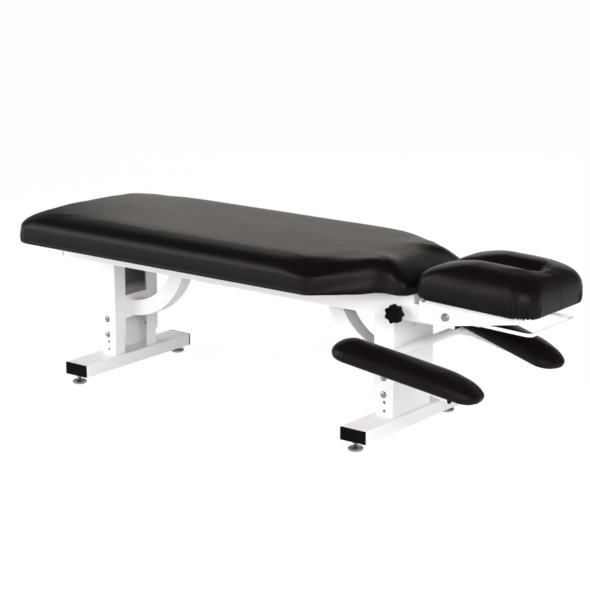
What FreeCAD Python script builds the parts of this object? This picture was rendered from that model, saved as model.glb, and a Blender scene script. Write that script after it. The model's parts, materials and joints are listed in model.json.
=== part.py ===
import FreeCAD, Part
import math
import os

from FreeCAD import Placement, Rotation, Vector

# Chiropractic table on two height-adjustable pedestals, in millimetres.
# +X runs towards the head end, -Y is the side of the tilt knob, +Z is up.
# The origin is on the floor, below the middle of the table's length.

SIZES = {
    # Pedestals: levelling feet, base tube, post and sleeve
    "foot_pedestal_place": -691.7,
    "pedestal_spacing": 1089.0,
    "floor_clearance": 27.0,
    "base_tube_length": 494.0,
    "base_tube_width": 87.0,
    "base_tube_height": 38.0,
    "base_tube_wall": 2.5,
    "base_cap_thickness": 5.0,
    "base_cap_plug_depth": 14.0,
    "base_cap_plug_gap": 0.3,
    "sleeve_width": 202.0,
    "sleeve_depth": 68.0,
    "sleeve_wall": 4.0,
    "sleeve_length": 327.3,
    "sleeve_setdown": 4.0,
    "sleeve_lip": 50.0,
    "sleeve_port_radius": 14.0,
    "sleeve_port_drop": 40.0,
    "post_clearance": 0.5,
    "post_wall": 4.0,
    "post_height": 299.0,
    "post_lip_setback": 2.0,
    # Height holes and the bolts through them
    "hole_pitch": 25.4,
    "hole_count": 9.0,
    "hole_radius": 5.25,
    "first_hole_above_base": 15.4,
    "lower_bolt_hole": 2.0,
    "bolt_gap_holes": 2.0,
    "sleeve_end_margin": 12.5,
    "height_bolt_radius": 4.75,
    "height_bolt_length": 22.0,
    "height_bolt_head_radius": 10.5,
    "height_bolt_head_height": 5.5,
    "height_nut_flats": 14.0,
    "height_nut_height": 7.5,
    "seat_gap": 0.3,
    # Levelling feet
    "leveller_inset": 16.2,
    "leveller_pad_radius": 22.5,
    "leveller_pad_height": 7.0,
    "leveller_neck_radius": 10.0,
    "leveller_neck_height": 12.5,
    "leveller_stem_radius": 5.0,
    "leveller_stem_top": 55.0,
    "leveller_nut_flats": 17.0,
    "leveller_nut_height": 6.0,
    "leveller_thread_gap": 0.05,
    # Top frame
    "rail_foot_end": -858.2,
    "rail_head_end": 515.8,
    "rail_height": 76.2,
    "rail_width": 25.4,
    "rail_wall": 2.5,
    "rail_nose_end": 651.8,
    "rail_nose_height": 51.2,
    "rail_cap_thickness": 3.0,
    "rail_cap_plug_depth": 10.0,
    "cross_width": 50.0,
    "cross_height": 25.0,
    "cross_wall": 2.5,
    "foot_cross_inset": 6.0,
    "middle_cross_place": -147.2,
    "head_cross_inset": 12.0,
    "brace_plate_height": 76.0,
    "brace_plate_thickness": 4.0,
    "brace_plate_flange": 20.0,
    "brace_plate_gap": 0.3,
    "brace_width": 50.0,
    "brace_wall": 2.5,
    "brace_start_height": 213.0,
    "brace_plate_rise": 5.0,
    # Body board and cushion
    "tab_length": 40.0,
    "tab_width": 24.0,
    "tab_thickness": 4.0,
    "board_thickness": 15.0,
    "board_edge_gap": 6.0,
    "soft_gap": 0.3,
    "body_foot_end": -912.2,
    "body_foot_bow": 8.0,
    "body_head_end": 511.8,
    "body_half_width": 305.0,
    "body_neck_half_width": 167.0,
    "body_shoulder_place": 267.8,
    "body_neck_place": 422.8,
    "body_foot_corner": 50.0,
    "body_shoulder_corner": 45.0,
    "body_neck_corner": 60.0,
    "body_head_corner": 25.0,
    "body_least_corner": 8.0,
    "body_cushion_height": 85.0,
    "board_screw_radius": 2.5,
    "board_screw_head_radius": 5.0,
    "board_screw_head_height": 3.0,
    "board_screw_bite": 10.0,
    # Headrest tilt: pivot, arms, tie and stop
    "pivot_place": 624.8,
    "pivot_above_rail_bottom": 31.2,
    "head_tilt_angle": 2.0,
    "arm_thickness": 5.0,
    "arm_washer_thickness": 1.0,
    "arm_washer_radius": 15.0,
    "washer_gap": 0.1,
    "pivot_bolt_radius": 6.0,
    "pivot_running_gap": 0.05,
    "pivot_head_radius": 11.5,
    "pivot_head_height": 7.0,
    "pivot_socket_flats": 8.0,
    "pivot_socket_depth": 4.0,
    "pivot_nut_flats": 19.0,
    "pivot_nut_height": 10.0,
    "arm_rear_end": 534.8,
    "arm_taper_place": 618.8,
    "arm_tip_end": 872.8,
    "arm_below_pivot": 27.0,
    "arm_tip_below_board": 18.0,
    "arm_corner": 16.0,
    "arm_flange_width": 20.0,
    "arm_flange_thickness": 4.0,
    "arm_flange_start": 556.8,
    "stop_behind_pivot": 75.3,
    "stop_above_pivot": 35.5,
    "stop_radius": 4.0,
    "stop_length": 22.0,
    "stop_head_radius": 7.0,
    "stop_head_height": 5.0,
    "tie_start": 676.8,
    "tie_size": 25.0,
    "tie_wall": 2.0,
    # Headrest board and cushion
    "headrest_body_end": 525.8,
    "headrest_length": 382.0,
    "headrest_half_width": 165.0,
    "headrest_height": 114.0,
    "headrest_body_corner": 46.0,
    "headrest_head_corner": 72.0,
    "face_slot_end": 842.8,
    "face_slot_half_width": 29.0,
    # Tilt lock: star knob, stud, slotted link and clamp nut
    "knob_place": 465.8,
    "knob_above_rail_bottom": 19.2,
    "knob_radius": 27.5,
    "knob_lobe_radius": 6.5,
    "knob_lobes": 7.0,
    "knob_head_height": 20.0,
    "knob_hub_radius": 13.0,
    "knob_hub_height": 14.0,
    "stud_radius": 4.0,
    "stud_length": 64.0,
    "stud_thread_gap": 0.05,
    "link_pin_behind_pivot": 10.0,
    "link_pin_above_pivot": 33.0,
    "link_pin_radius": 4.0,
    "link_pin_head_radius": 6.0,
    "link_thickness": 4.0,
    "link_half_width": 10.0,
    "link_slot_half_width": 6.0,
    "link_slot_inward": 7.0,
    "link_slot_outward": 15.0,
    "link_slot_margin": 5.0,
    "lug_thickness": 5.0,
    "lug_length": 26.0,
    "lug_below_pin": 10.0,
    "lug_flange": 22.0,
    "clamp_washer_radius": 11.0,
    "clamp_washer_thickness": 2.0,
    "clamp_nut_flats": 13.0,
    "clamp_nut_height": 6.5,
    # Paper bar below the headrest
    "paper_rod_radius": 4.75,
    "paper_rod_below_pivot": 4.0,
    "paper_rod_start": 683.8,
    "paper_rod_end": 888.8,
    "paper_rod_bend": 16.0,
    "paper_socket_radius": 6.75,
    "paper_socket_length": 45.0,
    # Armrests
    "armrest_tube_radius": 12.7,
    "armrest_tube_wall": 2.0,
    "armrest_tube_height": 267.0,
    "armrest_tube_half_span": 240.0,
    "armrest_tube_bend": 50.0,
    "armrest_tube_reach": 275.0,
    "armrest_slope_angle": 11.7,
    "armrest_toe_in_angle": 10.5,
    "armrest_middle_back": 142.0,
    "armrest_half_span": 249.0,
    "armrest_length": 450.0,
    "armrest_width": 124.0,
    "armrest_height": 56.0,
    "armrest_board_thickness": 12.0,
    "armrest_board_inset": 14.0,
    "armrest_screw_first_back": 144.0,
    "armrest_screw_second_back": 39.0,
    "armrest_screw_third_back": 15.0,
    "armrest_screw_radius": 2.5,
    "armrest_screw_head_radius": 4.5,
    "armrest_screw_head_height": 2.5,
    "armrest_plug_thickness": 3.0,
    "armrest_plug_depth": 10.0,
    # Cutters pass this far beyond what they cut
    "overrun": 5.0,
}

# Each layer of a cushion: its height and its insets, as shares of the cushion's height. The last inset of the
# body cushion, at its sides, is a share of its half width
# Height, inset at the foot end, inset at the head end, inset at the neck and inset at the sides
BODY_LAYER_SHARES = [
    (0.0, 0.06, 0.03, 0.06, 0.0167),
    (0.13, 0.015, 0.01, 0.015, 0.0042),
    (0.28, 0.0, 0.0, 0.0, 0.0),
    (0.46, 0.01, 0.05, 0.02, 0.0014),
    (0.6, 0.03, 0.17, 0.07, 0.0084),
    (0.72, 0.08, 0.36, 0.17, 0.0251),
    (0.82, 0.19, 0.6, 0.35, 0.0669),
    (0.89, 0.31, 0.8, 0.52, 0.1449),
    (0.95, 0.47, 1.0, 0.72, 0.2926),
    (1.0, 0.8, 1.15, 0.98, 0.5574),
]
ARMREST_LAYER_SHARES = [(0.0, 0.16), (0.18, 0.03), (0.42, 0.0), (0.68, 0.1), (0.86, 0.28), (0.96, 0.52), (1.0, 0.8)]
# Height, inset at the body end, inset at the head end and inset at the sides
HEADREST_LAYER_SHARES = [
    (0.0, 0.09, 0.05, 0.045),
    (0.16, 0.025, 0.02, 0.01),
    (0.35, 0.0, 0.0, 0.0),
    (0.53, 0.07, 0.04, 0.035),
    (0.7, 0.26, 0.13, 0.12),
    (0.83, 0.53, 0.27, 0.26),
    (0.94, 1.0, 0.47, 0.48),
    (1.0, 1.5, 0.75, 0.7),
]
TAB_PLACE_SHARES = [0.08, 0.37, 0.63, 0.92]
FLANGE_SCREW_SHARES = [0.14, 0.5, 0.86]
KNOB_VALLEY_SHARE = 0.8
KNOB_SHOULDER_SHARE = 0.3
KNOB_STEP_SHARES = [-0.5, -0.22, 0.0, 0.22, 0.5]
HEX_SIDES = 6
ROUND_SHARE = 0.875
BOW_SHARE = 0.5
CORNER_SHARE = 0.45
NECK_RUN_SHARE = 0.05
LEVELLER_EDGE_SHARE = 0.45

doc = FreeCAD.newDocument("chiropractic_table")
sheet = doc.addObject("Spreadsheet::Sheet", "Sizes")
for row, (alias, amount) in enumerate(SIZES.items(), start=1):
    sheet.set(f"A{row}", alias.replace("_", " "))
    sheet.set(f"B{row}", str(amount))
    sheet.setAlias(f"B{row}", alias)
doc.recompute()


class Size:
    """A length of the sheet, or a sum of them, with its value and the expression that gives it."""

    def __init__(self, value, text):
        self.value = value
        self.text = text

    def __add__(self, other):
        other = as_size(other)
        return Size(self.value + other.value, f"({self.text} + {other.text})")

    def __radd__(self, other):
        return as_size(other) + self

    def __sub__(self, other):
        other = as_size(other)
        return Size(self.value - other.value, f"({self.text} - {other.text})")

    def __rsub__(self, other):
        return as_size(other) - self

    def __mul__(self, share):
        share = as_size(share)
        return Size(self.value * share.value, f"({self.text} * {share.text})")

    __rmul__ = __mul__

    def __truediv__(self, share):
        share = as_size(share)
        return Size(self.value / share.value, f"({self.text} / {share.text})")

    def __neg__(self):
        return Size(-self.value, f"(-1 * {self.text})")


def as_size(number):
    return number if isinstance(number, Size) else Size(float(number), repr(float(number)))


def size(alias):
    return Size(float(sheet.get(alias)), f"Sizes.{alias}")


def count(alias):
    return int(round(size(alias).value))


def bind(thing, **sizes):
    for prop, amount in sizes.items():
        thing.setExpression(prop, as_size(amount).text)
    return thing


def place(thing, x=0, y=0, z=0):
    for axis, amount in zip("xyz", (x, y, z)):
        thing.setExpression(f"Placement.Base.{axis}", as_size(amount).text)
    return thing


def label(thing, name):
    thing.Label = name
    return thing


def box(low, high):
    """A box between two corners, each given as three sizes."""
    made = doc.addObject("Part::Box", "Block")
    spans = [as_size(top) - as_size(bottom) for bottom, top in zip(low, high)]
    bind(made, Length=spans[0], Width=spans[1], Height=spans[2])
    return place(made, *low)


def mirrored(low, high):
    """The corners of the same box on the other side of the table's middle plane."""
    return (low[0], -as_size(high[1]), low[2]), (high[0], -as_size(low[1]), high[2])


def cylinder(radius, length, at, along="z"):
    made = doc.addObject("Part::Cylinder", "Round")
    bind(made, Radius=radius, Height=length)
    turns = {"x": Rotation(Vector(0, 1, 0), 90), "y": Rotation(Vector(-1, 0, 0), 90), "z": Rotation()}
    made.Placement = Placement(Vector(), turns[along])
    return place(made, *at)


def fuse(pieces):
    made = doc.addObject("Part::MultiFuse", "Joined")
    made.Shapes = pieces
    return made


def cut(base, tools):
    made = doc.addObject("Part::Cut", "Trimmed")
    made.Base = base
    made.Tool = tools[0] if len(tools) == 1 else fuse(tools)
    return made


def group(pieces):
    """Like pieces that share one node, each still a solid of its own."""
    made = doc.addObject("Part::Compound", "Group")
    made.Links = pieces
    return made


def solid(name, shape):
    made = doc.addObject("Part::Feature", name)
    made.Shape = shape
    return made


def hex_nut(flats, height, bore, at, along):
    """A hexagonal nut with a round bore."""
    block = doc.addObject("Part::Prism", "Hexagon")
    block.Polygon = HEX_SIDES
    bind(block, Circumradius=flats * HALF / math.cos(math.pi / HEX_SIDES), Height=height)
    turns = {"y": Rotation(Vector(-1, 0, 0), 90), "z": Rotation()}
    block.Placement = Placement(Vector(), turns[along])
    place(block, *at)
    over = size("overrun")
    start = [at[0], at[1], at[2]]
    spot = "xyz".index(along)
    start[spot] = start[spot] - over
    return cut(block, [cylinder(bore, height + over * 2, start, along)])


def polygon(points):
    return Part.makePolygon(points + [points[0]])


def turned(outline, start, direction):
    """A round piece: outline is pairs of radius and height, turned about an axis."""
    points = [Vector(r, 0, z) for r, z in outline]
    shape = Part.Face(polygon(points)).revolve(Vector(), Vector(0, 0, 1), 360)
    shape.Placement = Placement(start, Rotation(Vector(0, 0, 1), direction))
    return shape


def dome(radius, height, steps=5):
    """The outline of a low dome, from its edge to its top."""
    angles = [math.pi / 2 * step / steps for step in range(steps)]
    return [(radius * math.cos(a), height * math.sin(a)) for a in angles] + [(0, height)]


def rounded(corners):
    """A closed wire of lines and arcs through corners, each a point with its own radius."""
    ends, total = [], len(corners)
    for index, (x, y, radius) in enumerate(corners):
        here = Vector(x, y, 0)
        before = Vector(*corners[index - 1][:2], 0) - here
        after = Vector(*corners[(index + 1) % total][:2], 0) - here
        half = before.getAngle(after) / 2
        reach = radius / math.tan(half)
        middle = (before.normalize() + after.normalize()).normalize()
        nearest = here + middle * (radius / math.sin(half) - radius)
        ends.append((here + before * reach, nearest, here + after * reach))
    for index, (start, nearest, finish) in enumerate(ends):
        run = ends[(index + 1) % total][0] - finish
        whole = Vector(*corners[(index + 1) % total][:2], 0) - Vector(*corners[index][:2], 0)
        if run.dot(whole) <= 0:
            raise ValueError(f"the corners {index} and {index + 1} overlap")
    edges = []
    for index, (start, nearest, finish) in enumerate(ends):
        edges.append(Part.Arc(start, nearest, finish).toShape())
        edges.append(Part.LineSegment(finish, ends[(index + 1) % total][0]).toShape())
    return Part.Wire(edges)


def stacked(layers):
    """A solid through closed wires, each lifted to its own height."""
    wires = []
    for height, wire in layers:
        lifted = wire.copy()
        lifted.translate(Vector(0, 0, height))
        wires.append(lifted)
    return Part.makeLoft(wires, True, True)


def rectangle(low_x, high_x, half_width, low_corner, high_corner):
    return rounded([
        (low_x, -half_width, low_corner),
        (high_x, -half_width, high_corner),
        (high_x, half_width, high_corner),
        (low_x, half_width, low_corner),
    ])


def plate(points, thickness, start_y):
    """A flat plate in the XZ plane, from start_y towards +Y."""
    face = Part.Face(polygon([Vector(x, start_y, z) for x, z in points]))
    return face.extrude(Vector(0, thickness, 0))


# Heights up the pedestal, and the planes that the parts share
OVER = size("overrun")
HALF = 0.5
SIDES = {"near": -1, "far": 1}

base_bottom = size("floor_clearance")
base_top = base_bottom + size("base_tube_height")
first_hole = base_top + size("first_hole_above_base")
lower_bolt = first_hole + size("lower_bolt_hole") * size("hole_pitch")
bolt_heights = [lower_bolt, lower_bolt + size("bolt_gap_holes") * size("hole_pitch")]
sleeve_bottom = lower_bolt - size("sleeve_end_margin")
sleeve_top = sleeve_bottom + size("sleeve_length")
rail_top = sleeve_top + size("sleeve_setdown")
rail_bottom = rail_top - size("rail_height")
cross_bottom = rail_top - size("cross_height")
sleeve_half = size("sleeve_width") * HALF
rail_inner = sleeve_half
rail_outer = rail_inner + size("rail_width")
post_half = sleeve_half - size("sleeve_wall") - size("post_clearance")
mouth_half = sleeve_half - size("sleeve_lip")
pivot_height = rail_bottom + size("pivot_above_rail_bottom")
knob_height = rail_bottom + size("knob_above_rail_bottom")
nose_top = rail_bottom + size("rail_nose_height")
arm_inner = rail_outer + size("arm_washer_thickness") + size("washer_gap") * 2
arm_outer = arm_inner + size("arm_thickness")
pivot = Vector(size("pivot_place").value, 0, pivot_height.value)
head_pedestal = size("foot_pedestal_place") + size("pedestal_spacing")

# The headrest is drawn level and then turned head end down about its pivot
head_turn = Rotation(Vector(0, 1, 0), size("head_tilt_angle").value)
TILT = Placement(pivot - head_turn.multVec(pivot), head_turn)


def tilted(thing):
    doc.recompute()
    for axis in "xyz":
        thing.setExpression(f"Placement.Base.{axis}", None)
    thing.Placement = TILT.multiply(thing.Placement)
    return thing


def pedestal(end, middle, mouth):
    """One pedestal. mouth is +1 where its channels open towards +X and -1 towards -X."""
    post_depth = size("sleeve_depth") - size("sleeve_wall") * 2 - size("post_clearance") * 2

    def channel(depth, half, wall, mouth_to, bottom, top):
        web = middle - depth * HALF * mouth
        lip = middle + depth * HALF * mouth
        low_x, high_x = (web, lip) if mouth > 0 else (lip, web)
        body = box((low_x, -half, bottom), (high_x, half, top))
        hollow = box(
            (low_x + wall, -(half - wall), bottom - OVER), (high_x - wall, half - wall, top + OVER)
        )
        lip_low, lip_high = (lip - wall - OVER, lip + OVER) if mouth > 0 else (lip - OVER, lip + wall + OVER)
        opening = box((lip_low, -mouth_to, bottom - OVER), (lip_high, mouth_to, top + OVER))
        return body, [hollow, opening]

    body, cutters = channel(
        size("sleeve_depth"), sleeve_half, size("sleeve_wall"), mouth_half, sleeve_bottom, sleeve_top
    )
    for height in bolt_heights:
        cutters.append(cylinder(
            size("hole_radius"), sleeve_half * 2 + OVER * 2, (middle, -sleeve_half - OVER, height), "y"
        ))
    web = middle - size("sleeve_depth") * HALF * mouth
    cutters.append(cylinder(
        size("sleeve_port_radius"),
        (size("sleeve_wall") + OVER) * 2,
        (web - size("sleeve_wall") - OVER, 0, rail_bottom - size("sleeve_port_drop")),
        "x",
    ))
    label(cut(body, cutters), f"{end}_sleeve")

    body, cutters = channel(
        post_depth,
        post_half,
        size("post_wall"),
        mouth_half + size("post_lip_setback"),
        base_top,
        base_top + size("post_height"),
    )
    for number in range(count("hole_count")):
        cutters.append(cylinder(
            size("hole_radius"),
            post_half * 2 + OVER * 2,
            (middle, -post_half - OVER, first_hole + size("hole_pitch") * number),
            "y",
        ))
    label(cut(body, cutters), f"{end}_post")

    height_bolts(end, middle)
    base(end, middle)
    brace(end, middle, mouth)


def height_bolts(end, middle):
    """Dome-headed bolts through the sleeve and a pair of the post's holes, nuts inside."""
    bolts, nuts = [], []
    head = size("height_bolt_head_radius").value
    rise = size("height_bolt_head_height").value
    shank = size("height_bolt_radius").value
    outline = [(0, -size("height_bolt_length").value), (shank, -size("height_bolt_length").value)]
    outline += [(shank, 0)] + dome(head, rise)
    nut_outer = post_half - size("post_wall") - size("seat_gap")
    for side in SIDES.values():
        for height in bolt_heights:
            start = Vector(middle.value, side * sleeve_half.value, height.value)
            bolts.append(solid("HeightBolt", turned(outline, start, Vector(0, side, 0))))
            low_y = nut_outer - size("height_nut_height") if side > 0 else -nut_outer
            nuts.append(hex_nut(
                size("height_nut_flats"),
                size("height_nut_height"),
                size("height_bolt_radius"),
                (middle, low_y, height),
                "y",
            ))
    label(group(bolts), f"{end}_height_bolts")
    label(group(nuts), f"{end}_height_nuts")


def base(end, middle):
    """The cross tube on the floor, its end caps, its welded nuts and its levelling feet."""
    half = size("base_tube_length") * HALF
    low_x = middle - size("base_tube_width") * HALF
    high_x = middle + size("base_tube_width") * HALF
    wall = size("base_tube_wall")
    body = box((low_x, -half, base_bottom), (high_x, half, base_top))
    cutters = [box(
        (low_x + wall, -half - OVER, base_bottom + wall), (high_x - wall, half + OVER, base_top - wall)
    )]
    stem_gap = size("leveller_stem_radius") + size("seat_gap")
    leveller_y = half + size("base_cap_thickness") - size("leveller_inset")
    for side in SIDES.values():
        cutters.append(cylinder(
            stem_gap, wall + OVER * 2, (middle, leveller_y * side, base_bottom - OVER), "z"
        ))
    label(cut(body, cutters), f"{end}_base_tube")

    caps, nuts = [], []
    gap = size("base_cap_plug_gap")
    for name, side in SIDES.items():
        cap_low = (low_x, half, base_bottom)
        cap_high = (high_x, half + size("base_cap_thickness"), base_top)
        plug_low = (low_x + wall + gap, half - size("base_cap_plug_depth"), base_bottom + wall + gap)
        plug_high = (high_x - wall - gap, half, base_top - wall - gap)
        core_low = (low_x + wall * 2 + gap, half - size("base_cap_plug_depth") - OVER, base_bottom + wall * 2 + gap)
        core_high = (high_x - wall * 2 - gap, half, base_top - wall * 2 - gap)
        if side < 0:
            cap_low, cap_high = mirrored(cap_low, cap_high)
            plug_low, plug_high = mirrored(plug_low, plug_high)
            core_low, core_high = mirrored(core_low, core_high)
        stem_path = cylinder(
            stem_gap, size("base_tube_height"), (middle, leveller_y * side, base_bottom), "z"
        )
        plug = cut(box(plug_low, plug_high), [box(core_low, core_high), stem_path])
        caps.append(fuse([box(cap_low, cap_high), plug]))
        nuts.append(hex_nut(
            size("leveller_nut_flats"),
            size("leveller_nut_height"),
            size("leveller_stem_radius") + size("leveller_thread_gap"),
            (middle, leveller_y * side, base_bottom - size("leveller_nut_height")),
            "z",
        ))
        leveller(f"{end}_{name}_leveller", middle, leveller_y * side)
    label(group(caps), f"{end}_base_caps")
    label(group(nuts), f"{end}_leveller_nuts")


def leveller(name, x, y):
    """A round pad with a cone neck on a threaded stem, standing on the floor."""
    pad = size("leveller_pad_radius").value
    height = size("leveller_pad_height").value
    edge = height * LEVELLER_EDGE_SHARE
    neck = size("leveller_neck_radius").value
    neck_top = size("leveller_neck_height").value
    stem = size("leveller_stem_radius").value
    top = size("leveller_stem_top").value
    outline = [(0, 0), (pad - edge, 0), (pad, edge), (pad, height), (pad - edge, height + edge)]
    outline += [(neck, neck_top), (stem, neck_top), (stem, top - edge), (stem - edge * HALF, top), (0, top)]
    shape = turned(outline, Vector(x.value, y.value, 0), Vector(0, 0, 1))
    label(solid("Leveller", shape), name)


def brace(end, middle, mouth):
    """The plate between the sleeve's lips and the curved square tube up to the frame."""
    face = middle + size("sleeve_depth") * HALF * mouth
    thick = size("brace_plate_thickness") * mouth
    flange = size("brace_plate_flange") * mouth
    half = mouth_half - size("brace_plate_gap")
    middle_height = size("brace_start_height") + size("brace_plate_rise")
    low_z = middle_height - size("brace_plate_height") * HALF
    high_z = middle_height + size("brace_plate_height") * HALF
    ends = sorted([face - thick, face], key=lambda x: x.value)
    upright = box((ends[0], -half, low_z), (ends[1], half, high_z))
    ends = sorted([face - thick - flange, face - thick], key=lambda x: x.value)
    shelf = box((ends[0], -half, high_z - size("brace_plate_thickness")), (ends[1], half, high_z))
    label(fuse([upright, shelf]), f"{end}_brace_plate")

    radius = (cross_bottom - size("brace_start_height")).value
    centre = Vector(face.value, 0, cross_bottom.value)

    def quarter(width):
        low = centre.z - radius - width / 2
        points = [(-width / 2, low), (width / 2, low), (width / 2, low + width), (-width / 2, low + width)]
        section = Part.Face(polygon([Vector(centre.x, y, z) for y, z in points]))
        return section.revolve(centre, Vector(0, -mouth, 0), 90)

    width = size("brace_width").value
    hollow = quarter(width - size("brace_wall").value * 2)
    label(solid("Brace", quarter(width).cut(hollow)), f"{end}_brace")


def rail(name, side):
    """A long rectangular tube whose head end steps down to a nose that carries the headrest."""
    wall = size("rail_wall")
    foot, head, nose = size("rail_foot_end"), size("rail_head_end"), size("rail_nose_end")
    blocks = [
        ((foot, rail_inner, rail_bottom), (head, rail_outer, rail_top)),
        ((head, rail_inner, rail_bottom), (nose, rail_outer, nose_top)),
    ]
    hollows = [
        ((foot - OVER, rail_inner + wall, rail_bottom + wall), (head - wall, rail_outer - wall, rail_top - wall)),
        ((head - wall * 2, rail_inner + wall, rail_bottom + wall), (nose + OVER, rail_outer - wall, nose_top - wall)),
    ]
    if side < 0:
        blocks = [mirrored(*block) for block in blocks]
        hollows = [mirrored(*block) for block in hollows]
    start = rail_inner - OVER if side > 0 else -rail_outer - OVER
    through = size("rail_width") + OVER * 2
    cutters = [box(*block) for block in hollows]
    cutters.append(cylinder(
        size("pivot_bolt_radius") + size("pivot_running_gap") * 2,
        through,
        (size("pivot_place"), start, pivot_height),
        "y",
    ))
    if side < 0:
        cutters.append(cylinder(
            size("stud_radius") + size("seat_gap"), through, (size("knob_place"), start, knob_height), "y"
        ))
    label(cut(fuse([box(*block) for block in blocks]), cutters), name)


def rail_caps():
    """Plastic caps in both open ends of each rail."""
    wall, gap = size("rail_wall"), size("base_cap_plug_gap")
    foot, nose = size("rail_foot_end"), size("rail_nose_end")
    thick, depth = size("rail_cap_thickness"), size("rail_cap_plug_depth")
    caps = []
    for side in SIDES.values():
        ends = [(foot - thick, foot, foot + depth, rail_top), (nose + thick, nose, nose - depth, nose_top)]
        for outer, edge, inner, top in ends:
            low_x, high_x = sorted([outer, edge], key=lambda x: x.value)
            plug_low, plug_high = sorted([edge, inner], key=lambda x: x.value)
            pieces = [
                ((low_x, rail_inner, rail_bottom), (high_x, rail_outer, top)),
                (
                    (plug_low, rail_inner + wall + gap, rail_bottom + wall + gap),
                    (plug_high, rail_outer - wall - gap, top - wall - gap),
                ),
            ]
            if side < 0:
                pieces = [mirrored(*piece) for piece in pieces]
            caps.append(fuse([box(*piece) for piece in pieces]))
    label(group(caps), "rail_end_caps")


def crossmember(name, middle):
    wall = size("cross_wall")
    low_x = middle - size("cross_width") * HALF
    high_x = middle + size("cross_width") * HALF
    body = box((low_x, -rail_inner, cross_bottom), (high_x, rail_inner, rail_top))
    hollow = box(
        (low_x + wall, -rail_inner - OVER, cross_bottom + wall),
        (high_x - wall, rail_inner + OVER, rail_top - wall),
    )
    label(cut(body, [hollow]), name)


def body_outline(foot_inset, head_inset, neck_inset, inset):
    """The body cushion seen from above: wide, then narrowing to a neck at the head end."""
    wide = size("body_half_width").value - inset
    neck = size("body_neck_half_width").value - neck_inset
    foot = size("body_foot_end").value + foot_inset
    bow = size("body_foot_bow").value
    head = size("body_head_end").value - head_inset
    shoulder = size("body_shoulder_place").value
    throat = size("body_neck_place").value
    slope = math.atan2(wide - neck, throat - shoulder)
    shoulder -= inset * math.tan(slope / 2)
    throat = min(throat - neck_inset * math.tan(slope / 2), head - neck_inset * NECK_RUN_SHARE)
    room = (head - throat) * CORNER_SHARE
    least = size("body_least_corner").value
    half = [
        (foot + bow, wide, min(size("body_foot_corner").value + foot_inset, wide * CORNER_SHARE)),
        (shoulder, wide, max(size("body_shoulder_corner").value - inset, least)),
        (throat, neck, min(size("body_neck_corner").value, room / math.tan(slope / 2))),
        (head, neck, min(size("body_head_corner").value + head_inset, room)),
    ]
    nose = [(foot, 0, BOW_SHARE * wide * wide / bow)]
    return rounded(nose + [(x, -y, r) for x, y, r in half] + [(x, y, r) for x, y, r in reversed(half)])


screw_spots = []


def body_insets(shares, more=0.0):
    """The insets of one layer of the body cushion, each with some more."""
    *ends, side = shares
    height, wide = size("body_cushion_height").value, size("body_half_width").value
    return [share * height + more for share in ends] + [side * wide + more]


def body_pad():
    """The plywood board, the cushion upholstered round it, and the tabs and screws below."""
    height = size("body_cushion_height").value
    base_z = rail_top.value
    gap = size("soft_gap").value
    edge = size("board_edge_gap").value
    thick = size("board_thickness").value

    first = body_insets(BODY_LAYER_SHARES[0][1:], edge)
    board = Part.Face(body_outline(*first)).extrude(Vector(0, 0, thick))
    board.translate(Vector(0, 0, base_z))
    label(solid("BodyBoard", board), "body_board")

    layers = []
    for share, *insets in BODY_LAYER_SHARES:
        layers.append((share * height, body_outline(*body_insets(insets))))
    cushion = stacked(layers)
    cushion.translate(Vector(0, 0, base_z))
    room = Part.Face(body_outline(*[inset - gap for inset in first]))
    room = room.extrude(Vector(0, 0, thick + gap + OVER.value))
    room.translate(Vector(0, 0, base_z - OVER.value))
    label(solid("BodyCushion", cushion.cut(room)), "body_cushion")

    tabs, screws = [], []
    span = size("rail_head_end") - size("rail_foot_end")
    for share in TAB_PLACE_SHARES:
        middle = size("rail_foot_end") + span * share
        for side in SIDES.values():
            low = (middle - size("tab_length") * HALF, rail_inner - size("tab_width"), rail_top - size("tab_thickness"))
            high = (middle + size("tab_length") * HALF, rail_inner, rail_top)
            y = (rail_inner - size("tab_width") * HALF) * side
            corners = (low, high) if side > 0 else mirrored(low, high)
            hole = cylinder(
                size("board_screw_radius"), size("tab_thickness") + OVER * 2, (middle, y, low[2] - OVER), "z"
            )
            tabs.append(cut(box(*corners), [hole]))
            head_z = low[2] - size("board_screw_head_height")
            shank = size("board_screw_bite") + size("tab_thickness")
            screws.append(screw(middle, y, head_z, shank))
    label(group(tabs), "board_tabs")
    label(group(screws), "body_board_screws")
    holes = [cylinder_shape(*spot) for spot in screw_spots]
    pocket = doc.getObjectsByLabel("body_board")[0]
    pocket.Shape = pocket.Shape.cut(holes)



def screw(x, y, head_z, shank):
    """A wood screw that points up, its head below the metal that it holds."""
    head = cylinder(size("board_screw_head_radius"), size("board_screw_head_height"), (x, y, head_z), "z")
    start = head_z + size("board_screw_head_height")
    stem = cylinder(size("board_screw_radius"), shank, (x, y, start), "z")
    screw_spots.append((x.value, y.value, start.value, shank.value))
    return fuse([head, stem])


def cylinder_shape(x, y, z, length):
    return Part.makeCylinder(size("board_screw_radius").value, length, Vector(x, y, z))


def headrest_outline(body_inset, head_inset, side_inset):
    start = size("headrest_body_end").value + body_inset
    finish = size("headrest_body_end").value + size("headrest_length").value - head_inset
    half = size("headrest_half_width").value - side_inset
    most = (finish - start) * CORNER_SHARE
    corners = [size(f"headrest_{end}_corner").value + side_inset * HALF for end in ("body", "head")]
    return rectangle(start, finish, half, min(corners[0], most), min(corners[1], most))


def face_slot(half_width, end, bottom, top):
    """The cutter of the face slot, open at the body end and round at the head end."""
    start = size("headrest_body_end").value - OVER.value
    straight = Part.makeBox(
        end - half_width - start, half_width * 2, top - bottom, Vector(start, -half_width, bottom)
    )
    round_end = Part.makeCylinder(half_width, top - bottom, Vector(end - half_width, 0, bottom))
    return straight.fuse(round_end)


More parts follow.
